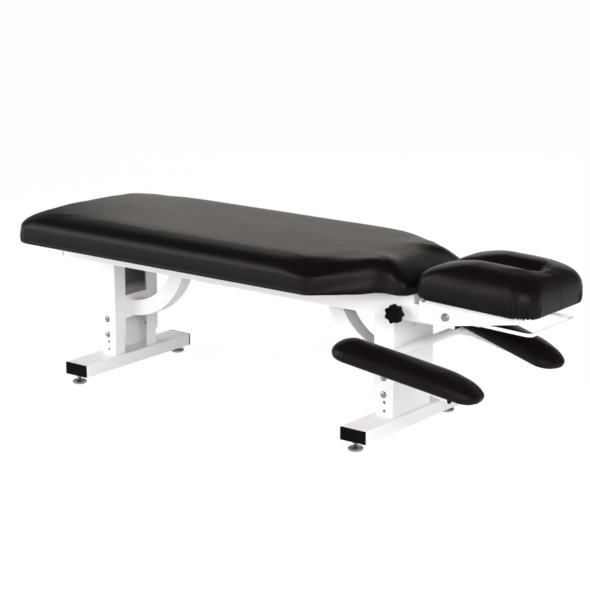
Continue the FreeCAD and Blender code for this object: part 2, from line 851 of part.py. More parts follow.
def headrest():
    """The padded headrest with its face slot, on a board between two arms."""
    height = size("headrest_height").value
    base_z = rail_top.value
    gap = size("soft_gap").value
    edge = size("board_edge_gap").value
    thick = size("board_thickness").value
    slot_half = size("face_slot_half_width").value
    slot_end = size("face_slot_end").value
    top = base_z + height + OVER.value

    first = [share * height for share in HEADREST_LAYER_SHARES[0][1:]]
    board = Part.Face(headrest_outline(*[inset + edge for inset in first]))
    board = board.extrude(Vector(0, 0, thick))
    board.translate(Vector(0, 0, base_z))
    board = board.cut(face_slot(slot_half + edge, slot_end + edge, base_z - OVER.value, top))

    layers = []
    for share, *insets in HEADREST_LAYER_SHARES:
        layers.append((share * height, headrest_outline(*[inset * height for inset in insets])))
    cushion = stacked(layers)
    cushion.translate(Vector(0, 0, base_z))
    cushion = cushion.cut(face_slot(slot_half, slot_end, base_z - OVER.value, top))
    room = Part.Face(headrest_outline(*[inset + edge - gap for inset in first]))
    room = room.extrude(Vector(0, 0, thick + gap + OVER.value))
    room.translate(Vector(0, 0, base_z - OVER.value))
    room = room.cut(face_slot(slot_half + edge - gap, slot_end + edge - gap, base_z - OVER.value, top))
    cushion = cushion.cut(room)
    label(tilted(solid("HeadrestCushion", cushion)), "headrest_cushion")

    screw_spots.clear()
    screws = []
    span = size("arm_tip_end") - size("arm_flange_start")
    for share in FLANGE_SCREW_SHARES:
        x = size("arm_flange_start") + span * share
        for side in SIDES.values():
            y = (arm_inner - size("arm_flange_width") * HALF) * side
            head_z = rail_top - size("arm_flange_thickness") - size("board_screw_head_height")
            screws.append(screw(x, y, head_z, size("board_screw_bite") + size("arm_flange_thickness")))
    label(tilted(group(screws)), "headrest_board_screws")
    holes = [cylinder_shape(*spot) for spot in screw_spots]
    label(tilted(solid("HeadrestBoard", board.cut(holes))), "headrest_board")

    for name, side in SIDES.items():
        headrest_arm(f"{name}_headrest_arm", side, holes)
    wall = size("tie_wall")
    tie_top = rail_top - size("arm_flange_thickness")
    tie_low = tie_top - size("tie_size")
    tie_end = size("tie_start") + size("tie_size")
    body = box((size("tie_start"), -arm_inner, tie_low), (tie_end, arm_inner, tie_top))
    hollow = box(
        (size("tie_start") + wall, -arm_inner - OVER, tie_low + wall),
        (tie_end - wall, arm_inner + OVER, tie_top - wall),
    )
    label(tilted(cut(body, [hollow])), "headrest_tie")


def headrest_arm(name, side, holes):
    """A tapering side plate with a flange turned in below the headrest's board."""
    rear, bend, tip = (size(key).value for key in ("arm_rear_end", "arm_taper_place", "arm_tip_end"))
    top = rail_top.value
    low = pivot.z - size("arm_below_pivot").value
    tip_low = top - size("arm_tip_below_board").value
    corner = size("arm_corner").value
    thick = size("arm_thickness").value
    flange = size("arm_flange_width").value
    flange_thick = size("arm_flange_thickness").value
    start = size("arm_flange_start").value
    inner = arm_inner.value
    points = [(rear, low), (bend, low), (tip, tip_low), (tip, top), (rear + corner, top), (rear, top - corner)]
    shape = plate(points, thick, inner)
    shape = shape.fuse(Part.makeBox(tip - start, flange, flange_thick, Vector(start, inner - flange, top - flange_thick)))
    bore = size("pivot_bolt_radius").value + size("pivot_running_gap").value
    over = OVER.value
    reach = thick + over * 2
    shape = shape.cut(Part.makeCylinder(bore, reach, Vector(pivot.x, inner - over, pivot.z), Vector(0, 1, 0)))
    stop_x = pivot.x - size("stop_behind_pivot").value
    stop_z = pivot.z + size("stop_above_pivot").value
    stop_bore = size("stop_radius").value
    shape = shape.cut(Part.makeCylinder(stop_bore, reach, Vector(stop_x, inner - over, stop_z), Vector(0, 1, 0)))
    if side < 0:
        shape = shape.mirror(Vector(), Vector(0, 1, 0))
    shape = shape.cut(holes).removeSplitter()
    label(tilted(solid("HeadrestArm", shape)), name)


def pivot_hardware():
    """The two bolts that the headrest turns on, with washers and nuts, and its stop screws."""
    bolts, nuts, washers, stops = [], [], [], []
    radius = size("pivot_bolt_radius").value
    head, rise = size("pivot_head_radius").value, size("pivot_head_height").value
    seat = (arm_outer + size("washer_gap")).value
    nut_outer = rail_inner - size("seat_gap")
    length = seat - (nut_outer - size("pivot_nut_height")).value
    edge = rise * HALF * HALF
    for side in SIDES.values():
        outward = Vector(0, side, 0)
        outline = [(0, -length), (radius, -length), (radius, 0), (head, 0), (head, rise - edge), (head - edge, rise), (0, rise)]
        bolt = turned(outline, Vector(pivot.x, side * seat, pivot.z), outward)
        socket_radius = size("pivot_socket_flats").value * HALF / math.cos(math.pi / HEX_SIDES)
        depth = size("pivot_socket_depth").value
        corners = []
        for number in range(HEX_SIDES):
            angle = 2 * math.pi / HEX_SIDES * number
            corners.append(Vector(
                pivot.x + socket_radius * math.cos(angle),
                side * (seat + rise - depth),
                pivot.z + socket_radius * math.sin(angle),
            ))
        socket = Part.Face(polygon(corners)).extrude(outward * (depth + OVER.value))
        bolts.append(solid("PivotBolt", bolt.cut(socket)))

        low_y = nut_outer - size("pivot_nut_height") if side > 0 else -nut_outer
        nuts.append(hex_nut(
            size("pivot_nut_flats"),
            size("pivot_nut_height"),
            size("pivot_bolt_radius"),
            (size("pivot_place"), low_y, pivot_height),
            "y",
        ))
        low_y = rail_outer + size("washer_gap")
        if side < 0:
            low_y = -low_y - size("arm_washer_thickness")
        thickness = size("arm_washer_thickness")
        disc = cylinder(size("arm_washer_radius"), thickness, (size("pivot_place"), low_y, pivot_height), "y")
        bore = cylinder(
            size("pivot_bolt_radius") + size("pivot_running_gap"),
            thickness + OVER * 2,
            (size("pivot_place"), low_y - OVER, pivot_height),
            "y",
        )
        washers.append(cut(disc, [bore]))

        shank = size("stop_radius").value
        outline = [(0, -size("stop_length").value), (shank, -size("stop_length").value), (shank, 0)]
        outline += dome(size("stop_head_radius").value, size("stop_head_height").value)
        start = Vector(
            pivot.x - size("stop_behind_pivot").value,
            side * arm_outer.value,
            pivot.z + size("stop_above_pivot").value,
        )
        stops.append(solid("StopScrew", turned(outline, start, outward)))
    label(group(bolts), "pivot_bolts")
    label(group(nuts), "pivot_nuts")
    label(group(washers), "pivot_washers")
    label(tilted(group(stops)), "tilt_stop_screws")


def tilt_lock():
    """The star knob on its stud, the slotted link that it clamps, and the link's lug and pin."""
    stud_x, stud_z = size("knob_place").value, knob_height.value
    rail_face = rail_outer.value
    hub, lobes = size("knob_hub_height").value, count("knob_lobes")
    reach, lobe = size("knob_radius").value, size("knob_lobe_radius").value
    valley, shoulder = reach * KNOB_VALLEY_SHARE, reach - lobe * KNOB_SHOULDER_SHARE
    gap = size("seat_gap").value
    outward = Vector(0, -1, 0)
    hub_start = rail_face + gap

    stud_radius = size("stud_radius").value
    edges = []
    step = 2 * math.pi / lobes
    for number in range(lobes):
        points = []
        for share, radius in zip(KNOB_STEP_SHARES, (valley, shoulder, reach, shoulder, valley)):
            angle = step * (number + share)
            points.append(Vector(stud_x + radius * math.cos(angle), -hub_start - hub, stud_z + radius * math.sin(angle)))
        tip_low, tip, tip_high = points[1], points[2], points[3]
        edges.append(Part.LineSegment(points[0], tip_low).toShape())
        edges.append(Part.Arc(tip_low, tip, tip_high).toShape())
        edges.append(Part.LineSegment(tip_high, points[4]).toShape())
    star = Part.Face(Part.Wire(edges)).extrude(outward * size("knob_head_height").value)
    collar = Part.makeCylinder(size("knob_hub_radius").value, hub, Vector(stud_x, -hub_start, stud_z), outward)
    bite = size("knob_head_height").value * HALF
    bore = Part.makeCylinder(stud_radius, hub + bite, Vector(stud_x, -hub_start, stud_z), outward)
    label(solid("StarKnob", star.fuse(collar).removeSplitter().cut(bore)), "tilt_knob")
    start = Vector(stud_x, -hub_start - hub - bite, stud_z)
    stud = Part.makeCylinder(stud_radius, size("stud_length").value + bite, start, Vector(0, 1, 0))
    label(solid("KnobStud", stud), "knob_stud")

    link_outer = rail_inner - size("seat_gap")
    link_inner = link_outer - size("link_thickness")
    washer_outer = link_inner - size("seat_gap")
    washer_inner = washer_outer - size("clamp_washer_thickness")
    bore = size("stud_radius") + size("stud_thread_gap")
    disc = cylinder(
        size("clamp_washer_radius"),
        size("clamp_washer_thickness"),
        (size("knob_place"), -washer_outer, knob_height),
        "y",
    )
    hole = cylinder(
        bore,
        size("clamp_washer_thickness") + OVER * 2,
        (size("knob_place"), -washer_outer - OVER, knob_height),
        "y",
    )
    label(cut(disc, [hole]), "clamp_washer")
    label(
        hex_nut(
            size("clamp_nut_flats"),
            size("clamp_nut_height"),
            bore,
            (size("knob_place"), -washer_inner, knob_height),
            "y",
        ),
        "clamp_nut",
    )

    level_pin = Vector(
        pivot.x - size("link_pin_behind_pivot").value, 0, pivot.z + size("link_pin_above_pivot").value
    )
    pin = TILT.multVec(level_pin)
    toward = Vector(stud_x - pin.x, 0, stud_z - pin.z).normalize()
    across = Vector(toward.z, 0, -toward.x)
    half = size("link_half_width").value
    margin = size("link_slot_margin").value
    rest = math.hypot(stud_x - pin.x, stud_z - pin.z)
    start, finish = rest - size("link_slot_inward").value, rest + size("link_slot_outward").value
    thick = size("link_thickness").value
    front = Vector(0, -link_outer.value, 0)

    def strip(first, last, width):
        ends = [pin + toward * first, pin + toward * last]
        corners = [ends[0] + across * width, ends[1] + across * width, ends[1] - across * width, ends[0] - across * width]
        shape = Part.Face(polygon([corner + front for corner in corners])).extrude(Vector(0, thick, 0))
        for end in ends:
            shape = shape.fuse(Part.makeCylinder(width, thick, end + front, Vector(0, 1, 0)))
        return shape

    link = strip(0, finish + margin - half + size("link_slot_half_width").value, half)
    link = link.cut(strip(start, finish, size("link_slot_half_width").value))
    pin_radius = size("link_pin_radius").value
    eye = Part.makeCylinder(
        pin_radius + size("pivot_running_gap").value, thick + OVER.value * 2, pin + front - Vector(0, OVER.value, 0),
        Vector(0, 1, 0),
    )
    label(solid("TiltLink", link.removeSplitter().cut(eye)), "tilt_link")

    lug_outer = link_inner - size("seat_gap")
    lug_inner = lug_outer - size("lug_thickness")
    pin_x = size("pivot_place") - size("link_pin_behind_pivot")
    pin_z = pivot_height + size("link_pin_above_pivot")
    low_x, high_x = pin_x - size("lug_length") * HALF, pin_x + size("lug_length") * HALF
    upright = box((low_x, -lug_outer, pin_z - size("lug_below_pin")), (high_x, -lug_inner, rail_top))
    flange = box(
        (low_x, -lug_inner, rail_top - size("lug_thickness")),
        (high_x, -lug_inner + size("lug_flange"), rail_top),
    )
    hole = cylinder(size("link_pin_radius"), size("lug_thickness") + OVER * 2, (pin_x, -lug_outer - OVER, pin_z), "y")
    label(tilted(cut(fuse([upright, flange]), [hole])), "link_lug")
    pin_length = link_outer - lug_inner + size("lug_thickness")
    shank = cylinder(size("link_pin_radius"), pin_length, (pin_x, -link_outer, pin_z), "y")
    head = cylinder(size("link_pin_head_radius"), size("lug_thickness"), (pin_x, -lug_inner, pin_z), "y")
    label(tilted(fuse([shank, head])), "link_pin")


def bent_bar(points, radius, bend):
    """A round bar along straight runs that tangent arcs of one radius join."""
    runs, start = [], points[0]
    for index in range(1, len(points) - 1):
        here = points[index]
        back = (points[index - 1] - here).normalize()
        ahead = (points[index + 1] - here).normalize()
        half = back.getAngle(ahead) / 2
        reach = bend / math.tan(half)
        middle = here + (back + ahead).normalize() * (bend / math.sin(half) - bend)
        runs.append(Part.LineSegment(start, here + back * reach).toShape())
        runs.append(Part.Arc(here + back * reach, middle, here + ahead * reach).toShape())
        start = here + ahead * reach
    runs.append(Part.LineSegment(start, points[-1]).toShape())
    path = Part.Wire(runs)
    ring = Part.Wire([Part.makeCircle(radius, points[0], (points[1] - points[0]).normalize())])
    return path.makePipeShell([ring], True, True)


def paper_bar():
    """The U-shaped bar below the headrest's head end, in two sockets on the arms."""
    radius = size("paper_rod_radius").value
    socket_outer = size("paper_socket_radius").value
    y = arm_inner.value - socket_outer - size("seat_gap").value
    z = pivot.z - size("paper_rod_below_pivot").value
    start, end = size("paper_rod_start").value, size("paper_rod_end").value
    points = [Vector(start, -y, z), Vector(end, -y, z), Vector(end, y, z), Vector(start, y, z)]
    bar = bent_bar(points, radius, size("paper_rod_bend").value)
    label(tilted(solid("PaperBar", bar)), "paper_bar")
    sockets = []
    for side in SIDES.values():
        spot = Vector(start, side * y, z)
        length = size("paper_socket_length").value
        tube = Part.makeCylinder(socket_outer, length, spot, Vector(1, 0, 0))
        tube = tube.cut(Part.makeCylinder(radius, length, spot, Vector(1, 0, 0)))
        sockets.append(solid("PaperSocket", tube))
    label(tilted(group(sockets)), "paper_bar_sockets")


def armrests():
    """The bent tube across the head pedestal and the two sloping, toed-in armrests on it."""
    radius, wall = size("armrest_tube_radius").value, size("armrest_tube_wall").value
    face = head_pedestal.value + size("sleeve_depth").value * HALF
    frame = Placement(
        Vector(face + radius, 0, size("armrest_tube_height").value),
        Rotation(Vector(0, 1, 0), size("armrest_slope_angle").value),
    )
    reach, span = size("armrest_tube_reach").value, size("armrest_tube_half_span").value
    bend = size("armrest_tube_bend").value
    points = [Vector(reach, -span, 0), Vector(0, -span, 0), Vector(0, span, 0), Vector(reach, span, 0)]
    tube = bent_bar(points, radius, bend)
    tube = tube.cut(bent_bar(points, radius - wall, bend))
    holes, screws, plugs = [], [], []
    thick = size("armrest_board_thickness").value
    bite = radius * 2 + thick - size("armrest_board_inset").value * HALF
    shank, head = size("armrest_screw_radius").value, size("armrest_screw_head_radius").value
    rise = size("armrest_screw_head_height").value
    places = [reach - size(f"armrest_screw_{word}_back").value for word in ("first", "second", "third")]
    for side in SIDES.values():
        for x in places:
            spot = Vector(x, side * span, -radius)
            holes.append(Part.makeCylinder(shank, bite, spot))
            outline = [(0, -bite), (shank, -bite), (shank, 0)] + dome(head, rise)
            screws.append(solid("ArmrestScrew", turned(outline, spot, Vector(0, 0, -1))))
        plug = Part.makeCylinder(radius, size("armrest_plug_thickness").value, Vector(reach, side * span, 0), Vector(1, 0, 0))
        depth = size("armrest_plug_depth").value
        inside = Part.makeCylinder(radius - wall, depth, Vector(reach - depth, side * span, 0), Vector(1, 0, 0))
        plugs.append(solid("TubePlug", plug.fuse(inside).removeSplitter()))

    def settled(thing):
        thing.Placement = frame.multiply(thing.Placement)
        return thing

    label(settled(solid("ArmrestTube", tube.cut(holes))), "armrest_tube")
    label(settled(group(screws)), "armrest_screws")
    label(settled(group(plugs)), "armrest_tube_plugs")

    height, gap = size("armrest_height").value, size("soft_gap").value
    half_length, half_width = size("armrest_length").value * HALF, size("armrest_width").value * HALF
    inset = size("armrest_board_inset").value

    def outline(by):
        corner = (half_width - by) * ROUND_SHARE
        return rectangle(by - half_length, half_length - by, half_width - by, corner, corner)

    board = Part.Face(outline(inset)).extrude(Vector(0, 0, thick))
    layers = [(share * height, outline(by * height)) for share, by in ARMREST_LAYER_SHARES]
    cushion = stacked(layers)
    room = Part.Face(outline(inset - gap)).extrude(Vector(0, 0, thick + gap + OVER.value))
    room.translate(Vector(0, 0, -OVER.value))
    cushion = cushion.cut(room)
    tube_clear = tube.copy()
    for name, side in SIDES.items():
        turn = Rotation(Vector(0, 0, 1), -side * size("armrest_toe_in_angle").value)
        seat = Placement(
            Vector(reach - size("armrest_middle_back").value, side * size("armrest_half_span").value, radius), turn
        )
        here_board, here_cushion = board.copy(), cushion.copy()
        here_board.Placement = seat
        here_cushion.Placement = Placement(Vector(0, 0, gap), Rotation()).multiply(seat)
        here_board = here_board.cut(holes)
        here_cushion = here_cushion.cut(tube_clear)
        label(settled(solid("ArmrestBoard", here_board)), f"{name}_armrest_board")
        label(settled(solid("ArmrestCushion", here_cushion)), f"{name}_armrest_cushion")


pedestal("foot", size("foot_pedestal_place"), 1)
pedestal("head", head_pedestal, -1)
for rail_name, rail_side in SIDES.items():
    rail(f"{rail_name}_rail", rail_side)
rail_caps()

brace_reach = size("sleeve_depth") * HALF + cross_bottom - size("brace_start_height")
half_cross = size("cross_width") * HALF
crossmember("foot_end_crossmember", size("rail_foot_end") + half_cross + size("foot_cross_inset"))
crossmember("foot_brace_crossmember", size("foot_pedestal_place") + brace_reach)
crossmember("middle_crossmember", size("middle_cross_place"))
crossmember("head_brace_crossmember", head_pedestal - brace_reach)
crossmember("head_end_crossmember", size("rail_head_end") - half_cross - size("head_cross_inset"))

body_pad()
headrest()
pivot_hardware()
tilt_lock()
paper_bar()
armrests()
doc.recompute()

used = set()
for thing in doc.Objects:
    for part in thing.OutList:
        used.add(part.Name)
nodes = [thing for thing in doc.Objects if thing.Name not in used and hasattr(thing, "Shape")]
for thing in doc.Objects:
    if "Invalid" in thing.State or "Error" in thing.State:
        raise RuntimeError(f"{thing.Label} did not compute")
for thing in nodes:
    if thing.Shape.isNull() or not thing.Shape.isValid() or not thing.Shape.Solids:
        raise RuntimeError(f"{thing.Label} has no valid solid")

os.makedirs("parts", exist_ok=True)
for thing in nodes:
    thing.Shape.exportStep(f"parts/{thing.Label}.step")
whole = Part.makeCompound([thing.Shape for thing in nodes]).BoundBox
print(len(nodes), "nodes,", sum(len(thing.Shape.Solids) for thing in nodes), "solids")
print("box", [round(v, 2) for v in (whole.XMin, whole.XMax, whole.YMin, whole.YMax, whole.ZMin, whole.ZMax)])
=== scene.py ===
"""Looks of the chiropractic table: cushions, stitched and stapled vinyl, weld beads, threads, materials and light."""

import json
import math

import bmesh
import bpy
import numpy as np
from mathutils import Euler, Matrix, Vector, noise
from mathutils.bvhtree import BVHTree


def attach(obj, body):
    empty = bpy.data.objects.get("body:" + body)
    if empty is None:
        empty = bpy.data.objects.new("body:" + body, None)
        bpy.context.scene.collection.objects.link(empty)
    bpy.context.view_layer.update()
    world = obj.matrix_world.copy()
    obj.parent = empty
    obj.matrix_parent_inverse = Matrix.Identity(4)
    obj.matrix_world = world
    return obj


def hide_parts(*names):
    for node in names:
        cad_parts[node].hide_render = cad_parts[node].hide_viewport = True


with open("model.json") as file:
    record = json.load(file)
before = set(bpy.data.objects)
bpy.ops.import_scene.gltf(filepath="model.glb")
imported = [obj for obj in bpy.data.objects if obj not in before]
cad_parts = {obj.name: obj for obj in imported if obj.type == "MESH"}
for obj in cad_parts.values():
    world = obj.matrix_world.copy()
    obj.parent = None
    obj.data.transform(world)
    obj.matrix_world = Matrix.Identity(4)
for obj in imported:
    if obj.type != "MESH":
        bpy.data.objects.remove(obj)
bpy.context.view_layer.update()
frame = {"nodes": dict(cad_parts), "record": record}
MM = 0.001

# ---------------- sizes, in millimetres, as in the CAD source
RAIL_TOP = 450.0
PIVOT = (624.8, 0.0, 405.0)
HEAD_TILT = 2.0
BOARD = 15.0
FOOT_PEDESTAL, HEAD_PEDESTAL = -691.7, 397.3
LEVELLER_REACH = 235.8
RAIL_INSIDE, RAIL_OUTSIDE, RAIL_BOTTOM = 101.0, 126.4, 373.8
CROSSMEMBER_STARTS, CROSSMEMBER_WIDTH, CROSSMEMBER_BOTTOM = (-852.2, -470.7, -172.2, 126.3, 453.8), 50.0, 425.0
BRACED_CROSSMEMBERS, BRACED_PLATES = (-470.7, 126.3), (-657.7, 363.3)
BRACE_HALF, PLATE_WELD = 25.0, (188.0, 238.0)
POST_BACKS_AND_LIPS = {"foot": (-721.2, -662.2), "head": (426.8, 367.8)}
POST_HALF, BASE_TOP = 96.5, 65.0
TIE_LOW, TIE_HIGH, TIE_END = (677.9, 418.9), (702.7, 443.7), 126.6
SLEEVE_INSIDE, POST_INSIDE = (30.4, 97.4), (26.0, 93.0)  # half along X and half along Y
BODY = {
    "foot": -912.2, "head": 511.8, "bow": 8.0, "wide": 305.0, "neck": 167.0, "shoulder": 267.8, "throat": 422.8,
    "foot_corner": 62.0, "shoulder_corner": 45.0, "neck_corner": 60.0, "head_corner": 25.0, "height": 85.0,
    "soft_corner": 55.0,
}
# A row of a layer table is a share of the cushion's height and the insets there, as shares of that height too
BODY_LAYERS = [
    (0.0, 0.03, 0.04, 0.04, 0.03), (0.13, 0.01, 0.015, 0.01, 0.008), (0.28, 0.0, 0.0, 0.0, 0.0),
    (0.46, 0.012, 0.04, 0.015, 0.012), (0.59, 0.026, 0.1, 0.035, 0.024), (0.67, 0.05, 0.17, 0.06, 0.047),
    (0.753, 0.1, 0.27, 0.105, 0.094), (0.824, 0.155, 0.37, 0.165, 0.147), (0.894, 0.245, 0.49, 0.25, 0.235),
    (0.953, 0.345, 0.62, 0.35, 0.335), (1.0, 0.46, 0.76, 0.46, 0.447), (1.039, 0.62, 0.94, 0.61, 0.6),
    (1.065, 0.83, 1.2, 0.79, 0.79), (1.076, 1.05, 1.5, 0.98, 1.0),
]
HEADREST = {
    "body": 525.8, "length": 382.0, "half": 165.0, "height": 114.0, "body_corner": 46.0, "head_corner": 60.0,
    "slot_half": 29.0, "slot_end": 842.8,
}
HEADREST_LAYERS = [
    (0.0, 0.035, 0.02, 0.03), (0.1, 0.012, 0.008, 0.012), (0.24, 0.0, 0.0, 0.0), (0.4, 0.02, 0.004, 0.002),
    (0.55, 0.08, 0.03, 0.028), (0.69, 0.24, 0.1, 0.08), (0.78, 0.41, 0.17, 0.15), (0.86, 0.65, 0.27, 0.25),
    (0.94, 1.0, 0.42, 0.43), (1.0, 1.45, 0.66, 0.74),
]
# How far the face slot's wall rolls back at each height
SLOT_ROLL = [
    (0, 2), (9, -2), (40, -9), (82, -11), (92, -9), (98, -5), (102, 0), (105.5, 7), (108.5, 16), (111, 27),
    (112.8, 40), (114, 56),
]
ARMREST = {"length": 450.0, "width": 124.0, "height": 56.0, "board": 12.0, "board_inset": 14.0}
ARMREST_SEAT, ARMREST_SLOPE, ARMREST_TOE_IN = (133.0, 249.0, 12.7), 11.7, 10.5
ARMREST_TUBE = (444.0, 0.0, 267.0)
ARMREST_LAYERS = [
    (0.0, 0.09), (0.13, 0.02), (0.28, 0.0), (0.42, 0.035), (0.55, 0.11), (0.68, 0.24), (0.8, 0.42), (0.9, 0.63),
    (0.97, 0.84), (1.0, 1.0),
]

# ---------------- the covers' own forms, in millimetres
TUCK = 5.7  # how far a cover is turned in under its board
CLEAR = 0.3  # between a cover and its board
BODY_CROWN, NECK_FALL, RIM_DROOP = 7.5, 9.0, 5.5
# Gathers at a corner: where round it in degrees, depth, length and lean
FOOT_GATHERS = [
    (-33, 1.1, 34, 0.05), (-21, 1.5, 42, 0.03), (-10, 1.2, 36, 0.0), (2, 1.7, 46, 0.0), (13, 1.2, 38, -0.02),
    (24, 1.5, 40, -0.04), (35, 0.9, 30, -0.05),
]
NECK_GATHERS = [
    (-28, 1.0, 26, 0.04), (-12, 1.4, 34, 0.02), (3, 1.1, 30, 0.0), (17, 1.4, 32, -0.03), (31, 0.9, 26, -0.04),
]
LOBE_GATHERS = [
    (-30, 1.2, 30, 0.06), (-15, 1.7, 40, 0.03), (0, 1.4, 36, 0.0), (14, 1.8, 42, -0.03), (29, 1.2, 32, -0.06),
]


# ---------------- small helpers
def add_mesh(name, points, faces, smooth=True):
    mesh = bpy.data.meshes.new(name)
    mesh.from_pydata([tuple(p) for p in points], [], [tuple(f) for f in faces])
    mesh.update()
    if smooth:
        mesh.polygons.foreach_set("use_smooth", [True] * len(mesh.polygons))
    made = bpy.data.objects.new(name, mesh)
    bpy.context.scene.collection.objects.link(made)
    return made


def triples(collection, what="co"):
    flat = np.empty(len(collection) * 3)
    collection.foreach_get(what, flat)
    return flat.reshape(-1, 3)


def vertices(obj):
    return triples(obj.data.vertices)


def set_vertices(obj, points):
    obj.data.vertices.foreach_set("co", np.asarray(points, dtype=float).ravel())
    obj.data.update()


def normals(obj):
    return triples(obj.data.vertices, "normal")


def evaluated_points(obj):
    made = obj.evaluated_get(bpy.context.evaluated_depsgraph_get())
    points = triples(made.to_mesh().vertices)
    made.to_mesh_clear()
    return points


def apply_modifiers(obj):
    graph = bpy.context.evaluated_depsgraph_get()
    mesh = bpy.data.meshes.new_from_object(obj.evaluated_get(graph), depsgraph=graph)
    old = obj.data
    obj.modifiers.clear()
    obj.data = mesh
    mesh.polygons.foreach_set("use_smooth", [True] * len(mesh.polygons))
    bpy.data.meshes.remove(old)


def smoothstep(low, high, value):
    t = np.clip((np.asarray(value, dtype=float) - low) / (high - low), 0.0, 1.0)
    return t * t * (3 - 2 * t)


def spline_table(table, rows):
    """The rows of a layer table, evenly refined by a smooth curve through its points."""
    table = np.asarray(table, dtype=float)
    chord = np.zeros(len(table))
    for i in range(1, len(table)):
        step = table[i] - table[i - 1]
        chord[i] = chord[i - 1] + math.hypot(step[0], np.max(np.abs(step[1:])))
    where = np.linspace(0, chord[-1], rows)
    made = np.empty((rows, table.shape[1]))
    for column in range(table.shape[1]):
        made[:, column] = monotone(chord, table[:, column], where)
    return made


def monotone(x, y, at):
    """Monotone cubic interpolation, so that a layer never bulges past its neighbours."""
    d = np.diff(y) / np.diff(x)
    m = np.zeros(len(x))
    m[0], m[-1] = d[0], d[-1]
    for i in range(1, len(x) - 1):
        m[i] = 0.0 if d[i - 1] * d[i] <= 0 else 2 * d[i - 1] * d[i] / (d[i - 1] + d[i])
    index = np.clip(np.searchsorted(x, at) - 1, 0, len(x) - 2)
    h = x[index + 1] - x[index]
    t = (at - x[index]) / h
    return (
        y[index] * (2 * t**3 - 3 * t**2 + 1) + h * m[index] * (t**3 - 2 * t**2 + t)
        + y[index + 1] * (-2 * t**3 + 3 * t**2) + h * m[index + 1] * (t**3 - t**2)
    )


def path(corners, counts):
    """Points along an open line whose inner corners are rounded: one count for each run and each arc."""
    points, last = [], np.array(corners[0][:2], dtype=float)
    counts = list(counts)
    for index in range(1, len(corners) - 1):
        here = np.array(corners[index][:2], dtype=float)
        before = np.array(corners[index - 1][:2], dtype=float) - here
        after = np.array(corners[index + 1][:2], dtype=float) - here
        before /= np.linalg.norm(before)
        after /= np.linalg.norm(after)
        half = math.acos(np.clip(np.dot(before, after), -1, 1)) / 2
        radius = corners[index][2]
        reach = radius / math.tan(half)
        start, finish = here + before * reach, here + after * reach
        centre = here + (before + after) / np.linalg.norm(before + after) * radius / math.sin(half)
        run, arc = counts.pop(0), counts.pop(0)
        points += [last + (start - last) * k / run for k in range(run)]
        a0 = math.atan2(*(start - centre)[::-1])
        turn = (math.atan2(*(finish - centre)[::-1]) - a0 + math.pi) % (2 * math.pi) - math.pi
        angles = [a0 + turn * k / arc for k in range(arc)]
        points += [centre + radius * np.array([math.cos(angle), math.sin(angle)]) for angle in angles]
        last = finish
    run = counts.pop(0)
    end = np.array(corners[-1][:2], dtype=float)
    points += [last + (end - last) * k / run for k in range(run + 1)]
    return np.array(points)


EVENING = 160  # passes that even a cap's grid


def cap_rings(ring, spine, count):
    """Flat rings from a closed ring in to a spine: the ring's first half and its mirrored second half share it."""
    grid = np.array([ring] + [ring * (1 - k / count) + spine * (k / count) for k in range(1, count + 1)])
    for _ in range(EVENING):
        inner = grid[1:-1]
        grid[1:-1] = (grid[:-2] + grid[2:] + np.roll(inner, 1, axis=1) + np.roll(inner, -1, axis=1)) / 4
    return grid[1:]


def ring_solid(name, rings, low_cap, high_cap, pairs):
    """A closed mesh through rings of points. pairs joins each spine point with its partner on the other side."""
    points, faces = [], []
    total = len(rings[0])
    for ring in rings:
        points += list(ring)
    for layer in range(len(rings) - 1):
        for i in range(total):
            j = (i + 1) % total
            faces.append((layer * total + i, layer * total + j, (layer + 1) * total + j, (layer + 1) * total + i))

    def close(edge_start, cap, flip):
        previous = [edge_start + i for i in range(total)]
        for number, ring in enumerate(cap):
            if number < len(cap) - 1:
                here = [len(points) + i for i in range(total)]
                points.extend(ring)
            else:
                here, made = [None] * total, {}
                for i in range(total):
                    key = min(i, pairs[i])
                    if key not in made:
                        made[key] = len(points)
                        points.append((ring[i] + ring[pairs[i]]) / 2)
                    here[i] = made[key]
            for i in range(total):
                j = (i + 1) % total
                face = [previous[i], previous[j], here[j], here[i]]
                face = [v for k, v in enumerate(face) if v != face[k - 1]]
                if len(set(face)) > 2:
                    faces.append(face[::-1] if flip else face)
            previous = here

    close((len(rings) - 1) * total, high_cap, False)
    close(0, low_cap, True)
    made = add_mesh(name, points, faces)
    work = bmesh.new()
    work.from_mesh(made.data)
    bmesh.ops.remove_doubles(work, verts=work.verts, dist=1e-6)
    bmesh.ops.recalc_face_normals(work, faces=work.faces)
    work.to_mesh(made.data)
    work.free()
    return made


FRAMES = 20
CLOTH = {
    "quality": 5, "mass": 0.3, "use_pressure": True, "uniform_pressure_force": 4.0, "tension_stiffness": 25,
    "compression_stiffness": 25, "shear_stiffness": 10, "bending_stiffness": 2, "tension_damping": 15,
    "vertex_group_mass": "pinned",
}


def swell(obj, pinned, cap):
    """Cloth under pressure: the cover swells, each point by a soft cap in metres, and pinned points stay."""
    start = vertices(obj)
    group = obj.vertex_groups.new(name="pinned")
    for index, weight in enumerate(pinned):
        if weight > 0:
            group.add([index], float(weight), "REPLACE")
    cloth = obj.modifiers.new("cover", "CLOTH")
    for name, value in CLOTH.items():
        setattr(cloth.settings, name, value)
    cloth.settings.effector_weights.gravity = 0
    cloth.collision_settings.use_collision = False
    cloth.point_cache.frame_start = 1
    cloth.point_cache.frame_end = FRAMES
    for number in range(1, FRAMES + 1):
        bpy.context.scene.frame_set(number)
    moved = evaluated_points(obj) - start
    obj.modifiers.remove(cloth)
    length = np.linalg.norm(moved, axis=1, keepdims=True)
    moved *= cap * (1 - np.exp(-length / cap)) / np.maximum(length, 1e-9)
    set_vertices(obj, start + moved)
    bpy.context.scene.frame_set(1)


